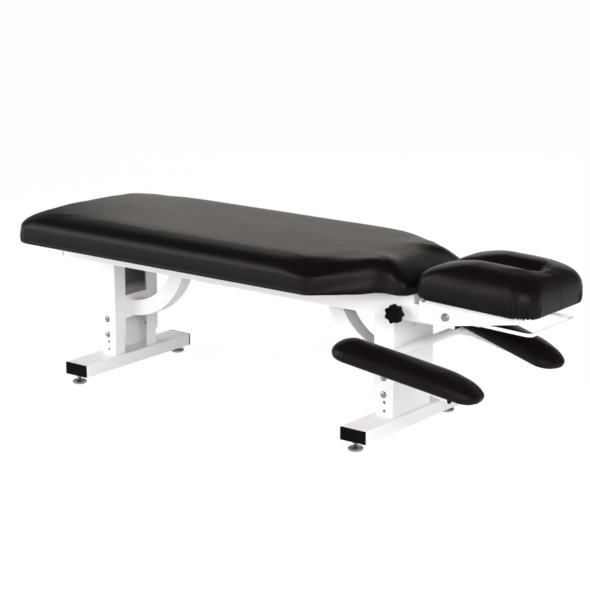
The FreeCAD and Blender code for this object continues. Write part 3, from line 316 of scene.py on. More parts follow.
def relax(obj, times, keep):
    """Evens the surface: each point moves halfway to the middle of its neighbours, less where keep is near 1.

    Every second step goes back a little further, so that the surface doesn't shrink.
    """
    mesh = obj.data
    edges = np.empty(len(mesh.edges) * 2, dtype=int)
    mesh.edges.foreach_get("vertices", edges)
    edges = edges.reshape(-1, 2)
    points = vertices(obj)
    count = np.zeros(len(points))
    np.add.at(count, edges.ravel(), 1)
    free = (1 - keep)[:, None] * 0.5
    for step in range(times * 2):
        total = np.zeros_like(points)
        np.add.at(total, edges[:, 0], points[edges[:, 1]])
        np.add.at(total, edges[:, 1], points[edges[:, 0]])
        push = free if step % 2 == 0 else -free * 1.02
        points = points + (total / count[:, None] - points) * push
    set_vertices(obj, points)


def fit_box(obj, low, high):
    """Scales a piece a little so that it fills just the given box, in millimetres."""
    points = vertices(obj)
    a, b = points.min(axis=0), points.max(axis=0)
    low, high = np.array(low) * MM, np.array(high) * MM
    set_vertices(obj, low + (points - a) / (b - a) * (high - low))


def subdivide(obj):
    mod = obj.modifiers.new("finer", "SUBSURF")
    mod.levels = mod.render_levels = 1
    mod.boundary_smooth = "PRESERVE_CORNERS"
    apply_modifiers(obj)


def push_out(obj, amount):
    """Moves each point along its own normal by an amount of its own, in metres."""
    set_vertices(obj, vertices(obj) + normals(obj) * np.asarray(amount)[:, None])


def wave(points, scale, seed):
    """Smooth noise at each point, between about -1 and 1."""
    shift = Vector((seed * 13.1, seed * 7.7, seed * 3.3))
    return np.array([noise.noise(Vector(p) * scale + shift) for p in points])


# ---------------- materials
def material(name):
    made = bpy.data.materials.new(name)
    made.use_nodes = True
    tree = made.node_tree
    tree.nodes.clear()
    shader = tree.nodes.new("ShaderNodeBsdfPrincipled")
    tree.links.new(shader.outputs[0], tree.nodes.new("ShaderNodeOutputMaterial").inputs[0])
    return made, tree, shader


def put(tree, socket, value):
    """Gives an input a number, a colour or another node's output."""
    if isinstance(value, bpy.types.NodeSocket):
        tree.links.new(value, socket)
    else:
        socket.default_value = value


def feed(tree, made, **inputs):
    """Sets a node's inputs by name, where _ stands for a space."""
    for name, value in inputs.items():
        put(tree, made.inputs[name.replace("_", " ")], value)


def node(tree, kind, settings=None, **inputs):
    made = tree.nodes.new("ShaderNode" + kind)
    for name, value in (settings or {}).items():
        setattr(made, name, value)
    feed(tree, made, **inputs)
    return made


def coordinates(tree, scale=(1, 1, 1)):
    return node(tree, "Mapping", Vector=node(tree, "TexCoord").outputs["Object"], Scale=scale).outputs[0]


def noise_of(tree, where, scale, detail=3.0, roughness=0.5):
    return node(tree, "TexNoise", Vector=where, Scale=scale, Detail=detail, Roughness=roughness).outputs["Fac"]


def ramp(tree, value, stops):
    made = node(tree, "ValToRGB", Fac=value)
    elements = made.color_ramp.elements
    for number, (at, colour) in enumerate(stops):
        element = elements[number] if number < 2 else elements.new(at)
        element.position = at
        element.color = (*colour, 1)
    return made.outputs["Color"]


def spread(tree, value, low, high, to_low, to_high):
    """Maps the range from low to high on the range from to_low to to_high."""
    return node(tree, "MapRange", Value=value, From_Min=low, From_Max=high, To_Min=to_low, To_Max=to_high).outputs[0]


def rough_noise(tree, where, scale, smooth, rough):
    """Roughness between two values, in soft patches."""
    return spread(tree, noise_of(tree, where, scale), 0.3, 0.7, smooth, rough)


def bump(tree, height, strength, distance, normal=None):
    made = node(tree, "Bump", Strength=strength, Distance=distance, Height=height)
    if normal is not None:
        feed(tree, made, Normal=normal)
    return made.outputs[0]


def mix_colours(tree, share, first, second, blend="MIX"):
    settings = {"data_type": "RGBA", "blend_type": blend}
    return node(tree, "Mix", settings, Factor=share, A=first, B=second).outputs["Result"]


def calculate(tree, operation, first, second=0.0):
    made = node(tree, "Math", {"operation": operation})
    put(tree, made.inputs[0], first)
    put(tree, made.inputs[1], second)
    return made.outputs[0]


def pedestal_place(tree):
    """How far a point is from the middle of its pedestal along X, how far from the middle along Y, and its height."""
    split = node(tree, "SeparateXYZ", Vector=coordinates(tree))
    foot, head = (
        calculate(tree, "ABSOLUTE", calculate(tree, "SUBTRACT", split.outputs["X"], middle * MM))
        for middle in (FOOT_PEDESTAL, HEAD_PEDESTAL)
    )
    side = calculate(tree, "ABSOLUTE", split.outputs["Y"])
    return calculate(tree, "MINIMUM", foot, head), side, split.outputs["Z"]


THREAD_PITCH, STEM_REACH = 1.5, 5.4


def stem_threads(tree):
    """Thread waves on the levellers' stems and nothing on their pads."""
    along, side, height = pedestal_place(tree)
    side = calculate(tree, "SUBTRACT", side, LEVELLER_REACH * MM)
    away = calculate(tree, "ADD", calculate(tree, "POWER", along, 2.0), calculate(tree, "MULTIPLY", side, side))
    turns = calculate(tree, "SINE", calculate(tree, "MULTIPLY", height, 2 * math.pi / (THREAD_PITCH * MM)))
    return calculate(tree, "MULTIPLY", turns, calculate(tree, "LESS_THAN", away, (STEM_REACH * MM) ** 2))


def white_coat(name="white_powder_coat", inside=None, fade=(0.0, 0.01)):
    """White powder coat. Inside a channel, whose inner half sizes are given, it turns to a near-black grey above the
    given heights: painted shade of the channel's interior.
    """
    made, tree, shader = material(name)
    at = coordinates(tree)
    colour = ramp(tree, noise_of(tree, at, 6.0, 2.0), [(0.3, (0.87, 0.875, 0.875)), (0.7, (0.895, 0.898, 0.896))])
    if inside:
        along, side, height = pedestal_place(tree)
        share = calculate(tree, "MULTIPLY", calculate(tree, "LESS_THAN", along, inside[0] * MM),
                          calculate(tree, "LESS_THAN", side, inside[1] * MM))
        share = calculate(tree, "MULTIPLY", share, spread(tree, height, *fade, 0.0, 1.0))
        # Painted shade: a near-black grey stands in for the shadow deep inside the channel, mixed in above a height
        steel = ramp(tree, noise_of(tree, at, 30.0, 4.0), [(0.3, (0.1, 0.105, 0.105)), (0.7, (0.16, 0.165, 0.165))])
        colour = mix_colours(tree, share, colour, steel)
    peel = noise_of(tree, at, 420.0, 2.0, 0.45)
    feed(tree, shader, Base_Color=colour, Roughness=rough_noise(tree, at, 40.0, 0.33, 0.43),
         Normal=bump(tree, peel, 0.16, 0.0006))
    return made


def vinyl():
    """Dark brown vinyl with a fine leather grain and low streaks along the part."""
    made, tree, shader = material("dark_brown_vinyl")
    at = coordinates(tree)
    tone = noise_of(tree, at, 9.0, 4.0, 0.55)
    streaks = noise_of(tree, coordinates(tree, (0.6, 9.0, 9.0)), 7.0, 4.0)
    swirl = node(tree, "TexNoise", Scale=260.0, Vector=at).outputs["Color"]
    cells = node(tree, "TexVoronoi", {"feature": "DISTANCE_TO_EDGE"}, Scale=620.0,
                 Vector=mix_colours(tree, 0.012, at, swirl))
    grain = bump(tree, spread(tree, cells.outputs["Distance"], 0.0, 0.12, 0.0, 1.0), 0.22, 0.00035)
    pores = bump(tree, noise_of(tree, at, 1500.0, 2.0), 0.12, 0.0002, grain)
    feed(tree, shader, Base_Color=ramp(tree, tone, [(0.28, VINYL_DARK), (0.72, VINYL_PALE)]),
         Roughness=spread(tree, streaks, 0.3, 0.7, 0.31, 0.36),
         Normal=bump(tree, noise_of(tree, at, 18.0, 2.0), 0.05, 0.004, pores),
         Specular_IOR_Level=0.12, Specular_Tint=(1.0, 0.93, 0.99, 1.0))
    return made


def black_plastic():
    made, tree, shader = material("black_moulded_plastic")
    at = coordinates(tree)
    colour = ramp(tree, noise_of(tree, at, 30.0, 3.0), [(0.3, (0.0022, 0.002, 0.002)), (0.7, (0.0042, 0.0038, 0.0038))])
    feed(tree, shader, Base_Color=colour, Roughness=rough_noise(tree, at, 90.0, 0.36, 0.5),
         Normal=bump(tree, noise_of(tree, at, 1100.0, 3.0), 0.3, 0.0003), Specular_IOR_Level=0.03)
    return made


def zinc(threaded=False):
    made, tree, shader = material("threaded_zinc" if threaded else "zinc_plated_steel")
    at = coordinates(tree)
    colour = ramp(tree, noise_of(tree, at, 55.0, 4.0, 0.6), [
        (0.3, (0.2, 0.19, 0.17)), (0.52, (0.32, 0.305, 0.28)), (0.75, (0.4, 0.365, 0.3))])
    worn = bump(tree, noise_of(tree, coordinates(tree, (1, 1, 9)), 300.0, 3.0), 0.15, 0.0003)
    if threaded:
        worn = bump(tree, stem_threads(tree), 1.0, 0.0004, worn)
    feed(tree, shader, Base_Color=colour, Roughness=rough_noise(tree, at, 160.0, 0.24, 0.4), Metallic=1.0, Normal=worn)
    return made


def plywood():
    made, tree, shader = material("plywood_boards")
    grain = noise_of(tree, coordinates(tree, (1.0, 9.0, 9.0)), 14.0, 6.0, 0.6)
    colour = ramp(tree, grain, [(0.25, (0.42, 0.27, 0.14)), (0.5, (0.58, 0.41, 0.24)), (0.78, (0.68, 0.5, 0.31))])
    plies = node(tree, "TexWave", {"bands_direction": "Z"}, Scale=120.0, Distortion=0.4, Vector=coordinates(tree))
    feed(tree, shader, Base_Color=mix_colours(tree, 0.25, colour, plies.outputs["Color"], "MULTIPLY"),
         Normal=bump(tree, grain, 0.25, 0.0006), Roughness=0.6)
    return made


def nylon():
    made, tree, shader = material("white_nylon")
    at = coordinates(tree)
    colour = ramp(tree, noise_of(tree, at, 80.0), [(0.3, (0.72, 0.72, 0.69)), (0.7, (0.8, 0.8, 0.78))])
    feed(tree, shader, Base_Color=colour, Normal=bump(tree, noise_of(tree, at, 700.0), 0.1, 0.0003), Roughness=0.45)
    return made


VINYL_DARK, VINYL_PALE = (0.0038, 0.0027, 0.0023), (0.0052, 0.0038, 0.0032)
LOOKS = {
    "white_coat": white_coat(),
    "vinyl": vinyl(),
    "plywood": plywood(),
    "zinc_steel": zinc(),
    "black_plastic": black_plastic(),
    "nylon": nylon(),
    # Looks of single nodes, in place of their slot's
    "threads": zinc(threaded=True),
    # The sleeve and the post get painted shade inside their channels, above a given height
    "sleeve": white_coat("coated_sleeve_painted_shade", SLEEVE_INSIDE),
    "post": white_coat("coated_post_painted_shade", POST_INSIDE, (0.235, 0.275)),
}


def finish_piece(obj, slot, body, nodes=()):
    obj.data.materials.clear()
    obj.data.materials.append(LOOKS[slot])
    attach(obj, body)
    if nodes:
        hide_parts(*nodes)


for entry in frame["record"]["subparts"]:
    thing = frame["nodes"][entry["node"]]
    for material_slot in thing.material_slots:
        material_slot.material = LOOKS[entry["material_slot"]]

for end in ("foot", "head"):
    for side in ("near", "far"):
        frame["nodes"][f"{end}_{side}_leveller"].material_slots[0].material = LOOKS["threads"]
    for piece in ("sleeve", "post"):
        frame["nodes"][f"{end}_{piece}"].material_slots[0].material = LOOKS[piece]


def soften(name, width, segments):
    """Rounds a CAD node's sharp edges a little, as bent, cut and moulded pieces are."""
    mod = frame["nodes"][name].modifiers.new("edges", "BEVEL")
    mod.width = width * MM
    mod.segments = segments
    mod.limit_method = "ANGLE"
    mod.angle_limit = math.radians(50)


# ---------------- outlines of the cushions
def at_height(flat, height):
    return np.column_stack([flat, np.full(len(flat), height)])


def with_far_side(near):
    """A closed line from its near half, whose first and last points are on the middle line."""
    return np.vstack([near, near[-2:0:-1] * (1, -1)])


def body_ring(foot_inset, head_inset, neck_inset, inset, height):
    """A closed ring round the body cushion, from the middle of its foot end along the near side and back."""
    wide, neck = BODY["wide"] - inset, BODY["neck"] - neck_inset
    foot, head = BODY["foot"] + foot_inset, BODY["head"] - head_inset
    slope = math.atan2(wide - neck, BODY["throat"] - BODY["shoulder"])
    shoulder = BODY["shoulder"] - inset * math.tan(slope / 2)
    throat = BODY["throat"] - neck_inset * math.tan(slope / 2)
    room = (head - throat) * 0.45
    soft = float(smoothstep(0, BODY["height"] * 0.6, height)) * BODY["soft_corner"]
    corners = [
        (foot, 0, 0),
        (foot, -wide, min(BODY["foot_corner"] + foot_inset, wide * 0.45)),
        (shoulder, -wide, max(BODY["shoulder_corner"] - inset * 0.3, 30.0) + soft),
        (throat, -neck, min(BODY["neck_corner"] * 1.1 + soft, room / math.tan(slope / 2))),
        (head, -neck, min(BODY["head_corner"] + head_inset, room)),
        (head, 0, 0),
    ]
    near = path(corners, [34, 16, 112, 8, 16, 10, 8, 14, 18])
    near[:, 0] += BODY["bow"] * (near[:, 1] / wide) ** 2 * (1 - smoothstep(foot, foot + 200, near[:, 0]))
    return at_height(with_far_side(near), height)


def headrest_ring(body_inset, head_inset, side_inset, slot_inset):
    """The two lines of a ring round the headrest: outside from lobe tip to lobe tip, then back along the slot."""
    start, finish = HEADREST["body"] + body_inset, HEADREST["body"] + HEADREST["length"] - head_inset
    half = HEADREST["half"] - side_inset
    slot, slot_end = HEADREST["slot_half"] + slot_inset, HEADREST["slot_end"] + slot_inset
    most = (finish - start) * 0.45
    body_corner = min(HEADREST["body_corner"] + side_inset / 2, most, (half - slot) * 0.48)
    head_corner = min(HEADREST["head_corner"] + side_inset / 2, most, half * 0.95)
    tip = -(half + slot) / 2
    lip = min(6.0 + body_inset * 0.6, (half - slot) * 0.45)
    outer = path(
        [(start, tip, 0), (start, -half, body_corner), (finish, -half, head_corner), (finish, half, head_corner),
         (start, half, body_corner), (start, -tip, 0)],
        [6, 14, 44, 24, 31, 24, 44, 14, 6],
    )
    inner = path(
        [(start, -tip, 0), (start, slot, lip), (slot_end, slot, slot * 0.999), (slot_end, -slot, slot * 0.999),
         (start, -slot, lip), (start, tip, 0)],
        [6, 8, 62, 27, 1, 27, 62, 8, 6],
    )
    return outer, inner


LEAST_GAP = 9.0  # between the two sides of a lobe's crest
LIP_POINTS = 24  # at each lobe tip, which share the crest of the next point


def evened(line, weights):
    """A line of numbers, each the weighted mean of its neighbours."""
    padded = np.pad(line, len(weights) // 2, mode="edge")
    return np.convolve(padded, weights / weights.sum(), "valid")


def crested_rings(levels):
    """Rings round the headrest, each place with a crest as high as the room between its two sides lets it be."""
    fine = spline_table(HEADREST_LAYERS, levels * 3)
    height = HEADREST["height"]
    sides = []
    for share, *insets in fine:
        outer, inner = headrest_ring(*[inset * height for inset in insets], headrest_slot_inset(share))
        sides.append((outer, inner[::-1]))
    outer = np.array([side[0] for side in sides])
    inner = np.array([side[1] for side in sides])
    total = outer.shape[1]
    tall = fine[:, 0] * height
    across = inner[0] - outer[0]
    across /= np.maximum(np.linalg.norm(across, axis=1, keepdims=True), 1e-9)
    gap = np.einsum("lik,ik->li", inner - outer, across)
    last = np.full(total, float(len(fine) - 1))
    for i in range(LIP_POINTS, total - LIP_POINTS):
        short = np.nonzero(gap[:, i] < LEAST_GAP)[0]
        if len(short):
            k = short[0]
            last[i] = k - 1 + (gap[k - 1, i] - LEAST_GAP) / max(gap[k - 1, i] - gap[k, i], 1e-6)
    last[:LIP_POINTS], last[total - LIP_POINTS:] = last[LIP_POINTS], last[total - LIP_POINTS - 1]
    last = np.minimum(last, evened(last, np.exp(-np.linspace(-2, 2, 25) ** 2)) + 0.5)
    last = evened(last, np.ones(13))
    rings = []
    for number in range(levels):
        place = last * number / (levels - 1)
        low = np.minimum(place.astype(int), len(fine) - 2)
        t = (place - low)[:, None]
        each = np.arange(total)
        out = outer[low, each] * (1 - t) + outer[low + 1, each] * t
        back = inner[low, each] * (1 - t) + inner[low + 1, each] * t
        rise = tall[low] * (1 - t[:, 0]) + tall[low + 1] * t[:, 0]
        rings.append(np.vstack([np.column_stack([out, rise])[:-1], np.column_stack([back, rise])[::-1][:-1]]))
    return rings


def armrest_ring(inset, height):
    """A closed ring round an armrest cushion, from the middle of one end along one side and back."""
    long, half = ARMREST["length"] / 2 - inset, ARMREST["width"] / 2 - inset
    corner = half * 0.86
    near = path([(-long, 0, 0), (-long, -half, corner), (long, -half, corner), (long, 0, 0)], [3, 20, 64, 20, 3])
    return at_height(with_far_side(near), height)


def mirror_pairs(total):
    return [(total - i) % total for i in range(total)]


def middle_of(ring):
    """The middle line of a ring, and how many points each of its points is from the first or last."""
    total = len(ring)
    order = np.minimum(np.arange(total), total - np.arange(total))
    return (ring + ring[mirror_pairs(total)]) / 2, order


def spine_of(ring, low, high, even=0.1):
    """The line in the middle of a ring, ending well inside it, with its points a little evened out."""
    line, order = middle_of(ring)
    order = order / (len(ring) // 2)
    line[:, 0] = np.clip(line[:, 0], low, high)
    line[:, 0] = line[:, 0] * (1 - even) + (low + (high - low) * order) * even
    return line


def lobed_spine(ring, room):
    """The line in the middle of the headrest's ring, ending well inside its head end and its two lobe tips."""
    line, order = middle_of(ring)
    order = np.minimum(order, len(ring) // 2 - order)
    least = ring[:, 0].min() + room
    line[:, 0] = np.where(line[:, 0] < least, least - 0.35 * (30 - np.minimum(order, 30)), line[:, 0])
    return line


def cushion(name, rings, low_spine, high_spine, low_count, high_count):
    """A cushion through its rings, in millimetres, closed at both ends."""
    pairs = mirror_pairs(len(rings[0]))
    low_cap, high_cap = cap_rings(rings[0], low_spine, low_count), cap_rings(rings[-1], high_spine, high_count)
    return ring_solid(name, rings, low_cap, high_cap, pairs)


def settle(made, pin_below, recess, cap, evened_between, times):
    """Turns a cover to metres, swells it and evens it. What is turned in under the board stays."""
    points = vertices(made)
    pinned = np.where(points[:, 2] < pin_below, 1.0, 0.0)
    low, high = recess
    pinned[(points[:, 2] > low) & (points[:, 2] < high) & (np.abs(normals(made)[:, 2]) > 0.9)] = 1.0
    set_vertices(made, points * MM)
    swell(made, pinned, cap)
    relax(made, times, np.maximum(smoothstep(*evened_between, vertices(made)[:, 2]), pinned))


def small_folds(points, coarse, fine, seeds):
    """Smooth unevenness of the vinyl: each size is how fine the folds are and how deep."""
    return sum(wave(points * MM, scale, seed) * depth for (scale, depth), seed in zip((coarse, fine), seeds))


def creases(points, middle, out, gathers, start, radius):
    """How far each point is pulled in by a corner's gathers: each is turn in degrees, depth, length and lean."""
    spoke = points[:, :2] - middle
    turn = np.arctan2(spoke[:, 1], spoke[:, 0]) - math.atan2(out[1], out[0])
    turn = (turn + math.pi) % (2 * math.pi) - math.pi
    height = points[:, 2] - start
    far = np.hypot(spoke[:, 0], spoke[:, 1])
    near_edge = smoothstep(radius * 0.55, radius * 0.8, far)
    total = np.zeros(len(points))
    for angle, depth, length, lean in gathers:
        across = (turn - math.radians(angle) - lean * height / 60) * np.maximum(far, 1.0)
        fade = 1 - smoothstep(length * 0.35, length, height)
        width = 1.8 + height / 22
        valley = -np.exp(-((across / width) ** 2))
        ridge = 0.45 * np.exp(-(((np.abs(across) - 2.3 * width) / (1.3 * width)) ** 2))
        total += depth * fade * near_edge * (valley + ridge)
    return total * (np.abs(turn) < math.radians(80))


ON_RAILS = Matrix.Translation((0, 0, RAIL_TOP * MM))


# ---------------- body cushion
def pad_unevenly(made):
    """Moves the filling as the photographed cushion has it: high and low spots, a falling neck, a drooping rim."""
    points = vertices(made) / MM
    spots = [(BODY["foot"] + 110, BODY["wide"] - 10, -9.0, 75.0), (BODY["foot"] + 16, -70.0, 4.0, 90.0)]
    for side in (-1, 1):
        spots += [
            (BODY["shoulder"], side * BODY["wide"], -13.0, 48.0),
            (BODY["throat"] - 6, side * (BODY["neck"] - 8), 17.0, 45.0),
            (BODY["head"] - 4, side * (BODY["neck"] - 28), -12.0, 42.0),
        ]
    for x, y, rise, reach in spots:
        near = np.exp(-((points[:, 0] - x) ** 2 + (points[:, 1] - y) ** 2) / (2 * reach**2))
        points[:, 2] += rise * near * smoothstep(36.0, 74.0, points[:, 2])
    fall = smoothstep(BODY["head"] - 190, BODY["head"] - 5, points[:, 0])
    points[:, 2] -= NECK_FALL * fall * smoothstep(50.0, 84.0, points[:, 2])
    outboard = np.maximum(
        smoothstep(RAIL_OUTSIDE + 30, RAIL_OUTSIDE + 80, np.abs(points[:, 1])),
        1 - smoothstep(BODY["foot"] + 8, BODY["foot"] + 44, points[:, 0]))
    points[:, 2] -= RIM_DROOP * outboard * (1 - smoothstep(14.0, 40.0, points[:, 2]))
    set_vertices(made, points * MM)
    relax(made, 24, 1 - smoothstep(80.0, 88.0, points[:, 2]))


def body_cushion():
    height, wide = BODY["height"], BODY["wide"]
    first = [share * height + TUCK for share in BODY_LAYERS[0][1:]]
    rings = [body_ring(*first, BOARD + CLEAR), body_ring(*first, 1.0)]
    for share, *insets in spline_table(BODY_LAYERS, 38):
        rings.append(body_ring(*[inset * height for inset in insets], share * height))
    low = spine_of(rings[0], BODY["foot"] + 260, BODY["head"] - 150)
    top = rings[-1]
    high = spine_of(top, top[:, 0].min() + 120, top[:, 0].max() - 70)
    high[:, 2] += 1.5
    made = cushion("body_cushion_cover", rings, low, high, 10, 15)
    settle(made, 8.0, (14, 16), 0.003, (0.030, 0.004), 24)
    fit_box(made, (BODY["foot"], -wide, 0.0), (BODY["head"], wide, height + BODY_CROWN))
    pad_unevenly(made)
    subdivide(made)
    points = vertices(made) / MM
    pull = np.zeros(len(points))
    for side in (-1, 1):
        corner = (BODY["foot"] + 60, side * (wide - 58))
        pull += creases(points, corner, (-1, side), FOOT_GATHERS, 2.0, 50.0)
        corner = (BODY["head"] - 34, side * (BODY["neck"] - 34))
        pull += creases(points, corner, (1, side), NECK_GATHERS, 2.0, 26.0)
    pull += small_folds(points, (7.0, 0.35), (19.0, 0.12), (1, 2)) * smoothstep(6.0, 22.0, points[:, 2])
    push_out(made, pull * MM)
    made.data.transform(ON_RAILS)
    finish_piece(made, "vinyl", "frame", nodes=["body_cushion"])


# ---------------- headrest cushion
def headrest_slot_inset(share):
    """How far the slot's wall rolls back from the slot at a share of the height."""
    heights, insets = zip(*SLOT_ROLL)
    return float(np.interp(share * HEADREST["height"], heights, insets))


HEADREST_TURN = (
    Matrix.Translation(Vector(PIVOT) * MM) @ Matrix.Rotation(math.radians(HEAD_TILT), 4, "Y")
    @ Matrix.Translation(-Vector(PIVOT) * MM)
)


def head_pleats(side):
    """The pleats round a corner of the head end, as the photographed cushion has them."""
    pleats = []
    for number in range(14):
        swing = abs(math.sin(number * 2.1 + 0.6))
        turn = side * (66 - number * 7.3 + 2.0 * math.sin(number * 1.7))
        pleats.append((turn, 2.2 + 1.8 * swing, 34 + 22 * swing, 0.0))
    return pleats


def headrest_cushion():
    height, half, start = HEADREST["height"], HEADREST["half"], HEADREST["body"]
    end = start + HEADREST["length"]
    first = [share * height + TUCK for share in HEADREST_LAYERS[0][1:]]
    outer, inner = headrest_ring(*first, TUCK)
    rings = [at_height(np.vstack([outer[:-1], inner[:-1]]), level) for level in (BOARD + CLEAR, 1.0)]
    rings += crested_rings(36)
    low, high = lobed_spine(rings[0], 55.0), lobed_spine(rings[-1], 26.0)
    high[:, 2] += 0.8
    made = cushion("headrest_cushion_cover", rings, low, high, 8, 7)
    settle(made, 8.0, (14, 16), 0.004, (0.030, 0.004), 14)
    fit_box(made, (start, -half, 0.0), (end, half, height + 0.8))
    subdivide(made)
    points = vertices(made) / MM
    pull = np.zeros(len(points))
    for side in (-1, 1):
        pull += creases(points, (end - 78, side * (half - 78)), (1, side), head_pleats(side), 1.0, 72.0)
        pull += creases(points, (start + 50, side * (half - 50)), (-1, side), LOBE_GATHERS, 2.0, 46.0)
    # The seam over the head end, in the middle
    beyond_slot = smoothstep(HEADREST["slot_end"] - 6, HEADREST["slot_end"] + 4, points[:, 0])
    pull -= 1.1 * np.exp(-((points[:, 1] / 1.3) ** 2)) * beyond_slot
    pull += small_folds(points, (11.0, 0.45), (31.0, 0.16), (5, 6)) * smoothstep(6.0, 22.0, points[:, 2])
    push_out(made, pull * MM)
    made.data.transform(ON_RAILS)
    made.data.transform(HEADREST_TURN)
    finish_piece(made, "vinyl", "headrest", nodes=["headrest_cushion"])


# ---------------- armrest cushions
def armrest_seat(side):
    """Where an armrest's board lies: up the slope of the tube, out to its side and turned in."""
    reach, out, up = ARMREST_SEAT
    slope = Matrix.Translation(Vector(ARMREST_TUBE) * MM) @ Matrix.Rotation(math.radians(ARMREST_SLOPE), 4, "Y")
    return slope @ Matrix.Translation(Vector((reach, side * out, up)) * MM) @ Matrix.Rotation(
        math.radians(-side * ARMREST_TOE_IN), 4, "Z")


def armrest_gathers(end, side):
    gathers = []
    for number in range(13):
        angle = -72 + number * 12 + 3 * math.sin(number * 2.3 + end + side)
        depth = 0.9 + 0.55 * abs(math.sin(number * 1.9 + 0.7 * end + side))
        gathers.append((angle, depth, 20 + 9 * abs(math.sin(number * 1.3 + end)), 0.0))
    return gathers


def armrest_cushion(name, side):
    height, half, wide = ARMREST["height"], ARMREST["length"] / 2, ARMREST["width"] / 2
    inset = ARMREST["board_inset"] - CLEAR
    rings = [armrest_ring(inset, ARMREST["board"] + 2 * CLEAR), armrest_ring(inset, 1.0)]
    for share, by in spline_table(ARMREST_LAYERS, 26):
        rings.append(armrest_ring(by * height, share * height + CLEAR))
    low = spine_of(rings[0], -half + 62, half - 62, 0.05)
    high = spine_of(rings[-1], rings[-1][:, 0].min() + 14, rings[-1][:, 0].max() - 14, 0.05)
    high[:, 2] += 1.0
    made = cushion(f"{name}_armrest_cover", rings, low, high, 6, 4)
    settle(made, 6.0, (11, 14), 0.003, (0.020, 0.003), 4)
    # Both ends are lower than the middle, and the head end narrower too
    points = vertices(made)
    head_end = smoothstep(0.5, 1.0, points[:, 0] / (half * MM))
    foot_end = smoothstep(0.7, 1.0, -points[:, 0] / (half * MM))
    points[:, 2] *= 1 - (0.26 * head_end + 0.04 * foot_end) * smoothstep(0.006, 0.03, points[:, 2])
    points[:, 1] *= 1 - 0.14 * head_end
    set_vertices(made, points)
    fit_box(made, (-half, -wide, CLEAR), (half, wide, height + 0.8))
    subdivide(made)
    points = vertices(made) / MM
    pull = np.zeros(len(points))
    for end in (-1, 1):
        pull += creases(points, (end * (half - 62), 0.0), (end, 0), armrest_gathers(end, side), 1.0, 60.0)
    folds = small_folds(points, (13.0, 0.3), (37.0, 0.12), (9 + side, 11 + side))
    pull += folds * smoothstep(5.0, 16.0, points[:, 2])
    push_out(made, pull * MM)
    made.data.transform(armrest_seat(side))
    finish_piece(made, "vinyl", "frame", nodes=[f"{name}_armrest_cushion"])


body_cushion()
headrest_cushion()
armrest_cushion("near", -1)
armrest_cushion("far", 1)

# ---------------- weld beads
RIPPLE = 3.4


def wire(points, faces, line, radius, step=0.0, sides=7):
    """Adds a round bar along a line of corners. A step makes it a weld bead, whose ripples are that far apart."""
    for start, end in zip(line, line[1:]):
        start, end = Vector(start), Vector(end)
        along = end - start
        count = max(int(along.length / step * 3), 6) if step else 1
        side = along.orthogonal().normalized()
        up = along.normalized().cross(side)
        first = len(points)
        for k in range(count + 1):
            ripple = 1 + 0.22 * abs(math.sin(math.pi * k / 3)) if step else 1.0
            taper = min(1.0, 0.5 + k / 3, 0.5 + (count - k) / 3) if step else 1.0
            for number in range(sides):
                angle = 2 * math.pi * number / sides
                around = side * math.cos(angle) + up * math.sin(angle)
                points.append(start + along * (k / count) + around * radius * ripple * taper)
        for k in range(count):
            for number in range(sides):
                low, high = first + k * sides, first + (k + 1) * sides
                beside = (number + 1) % sides
                faces.append((low + number, low + beside, high + beside, high + number))
        faces.append(tuple(first + number for number in range(sides))[::-1])
        faces.append(tuple(first + count * sides + number for number in range(sides)))


def bead_piece(name, lines, body, radius):
    points, faces = [], []
    for line in lines:
        wire(points, faces, line, radius, RIPPLE)
    made = add_mesh(name, [point * MM for point in points], faces)
    finish_piece(made, "white_coat", body)


def rectangle(low, high, place):
    (a, b), (c, d) = low, high
    return [place(a, b), place(c, b), place(c, d), place(a, d), place(a, b)]


def weld_beads():
    frame_lines = []
    for side in (-1, 1):
        inside = RAIL_INSIDE * side
        for middle in (FOOT_PEDESTAL, HEAD_PEDESTAL):
            frame_lines.append([(middle - 34, inside, RAIL_BOTTOM), (middle + 34, inside, RAIL_BOTTOM)])
        low, high = CROSSMEMBER_BOTTOM, CROSSMEMBER_BOTTOM + 21
        for start in CROSSMEMBER_STARTS:
            finish = start + CROSSMEMBER_WIDTH
            corners = (start, high), (start, low), (finish, low), (finish, high)
            frame_lines.append([(x, inside, z) for x, z in corners])
        tube_x, tube_z = HEAD_PEDESTAL + 35.5, ARMREST_TUBE[2] + 8.5 * side
        frame_lines.append([(tube_x, -45, tube_z), (tube_x, 45, tube_z)])
    half = BRACE_HALF
    for x in BRACED_PLATES:
        frame_lines.append(rectangle((-half, PLATE_WELD[0]), (half, PLATE_WELD[1]), lambda y, z: (x, y, z)))
    for start in BRACED_CROSSMEMBERS:
        frame_lines.append(rectangle((start, -half), (start + CROSSMEMBER_WIDTH, half),
                                     lambda x, y: (x, y, CROSSMEMBER_BOTTOM)))
    bead_piece("frame_weld_beads", frame_lines, "frame", 2.1)
    for end, (back, lips) in POST_BACKS_AND_LIPS.items():
        line = [(x, y * POST_HALF, BASE_TOP) for x, y in ((lips, -1), (back, -1), (back, 1), (lips, 1))]
        bead_piece(f"{end}_base_weld_beads", [line], f"{end}_base", 1.9)
    tie = [rectangle(TIE_LOW, TIE_HIGH, lambda x, z: (x, TIE_END * side, z)) for side in (-1, 1)]
    bead_piece("headrest_weld_beads", tie, "headrest", 1.7)


weld_beads()

# ---------------- the cover's hem under each board, and its staples
def neighbours():
    """Everything that a hem keeps clear of: the CAD nodes but for the boards and cushions."""
    points, faces = [], []
    for name, thing in frame["nodes"].items():
        if name.endswith(("_board", "_cushion")):
            continue
        start = len(points)
        points += [thing.matrix_world @ vertex.co for vertex in thing.data.vertices]
        faces += [tuple(start + index for index in face.vertices) for face in thing.data.polygons]
    return BVHTree.FromPolygons(points, faces)


OTHERS = neighbours()
HEM_CLEAR = 5.5  # from a hem to the next tube or screw
STAPLE = [(-5.6, -0.2), (-5.2, -1.2), (5.2, -1.2), (5.6, -0.2)]  # its corners along the hem and down


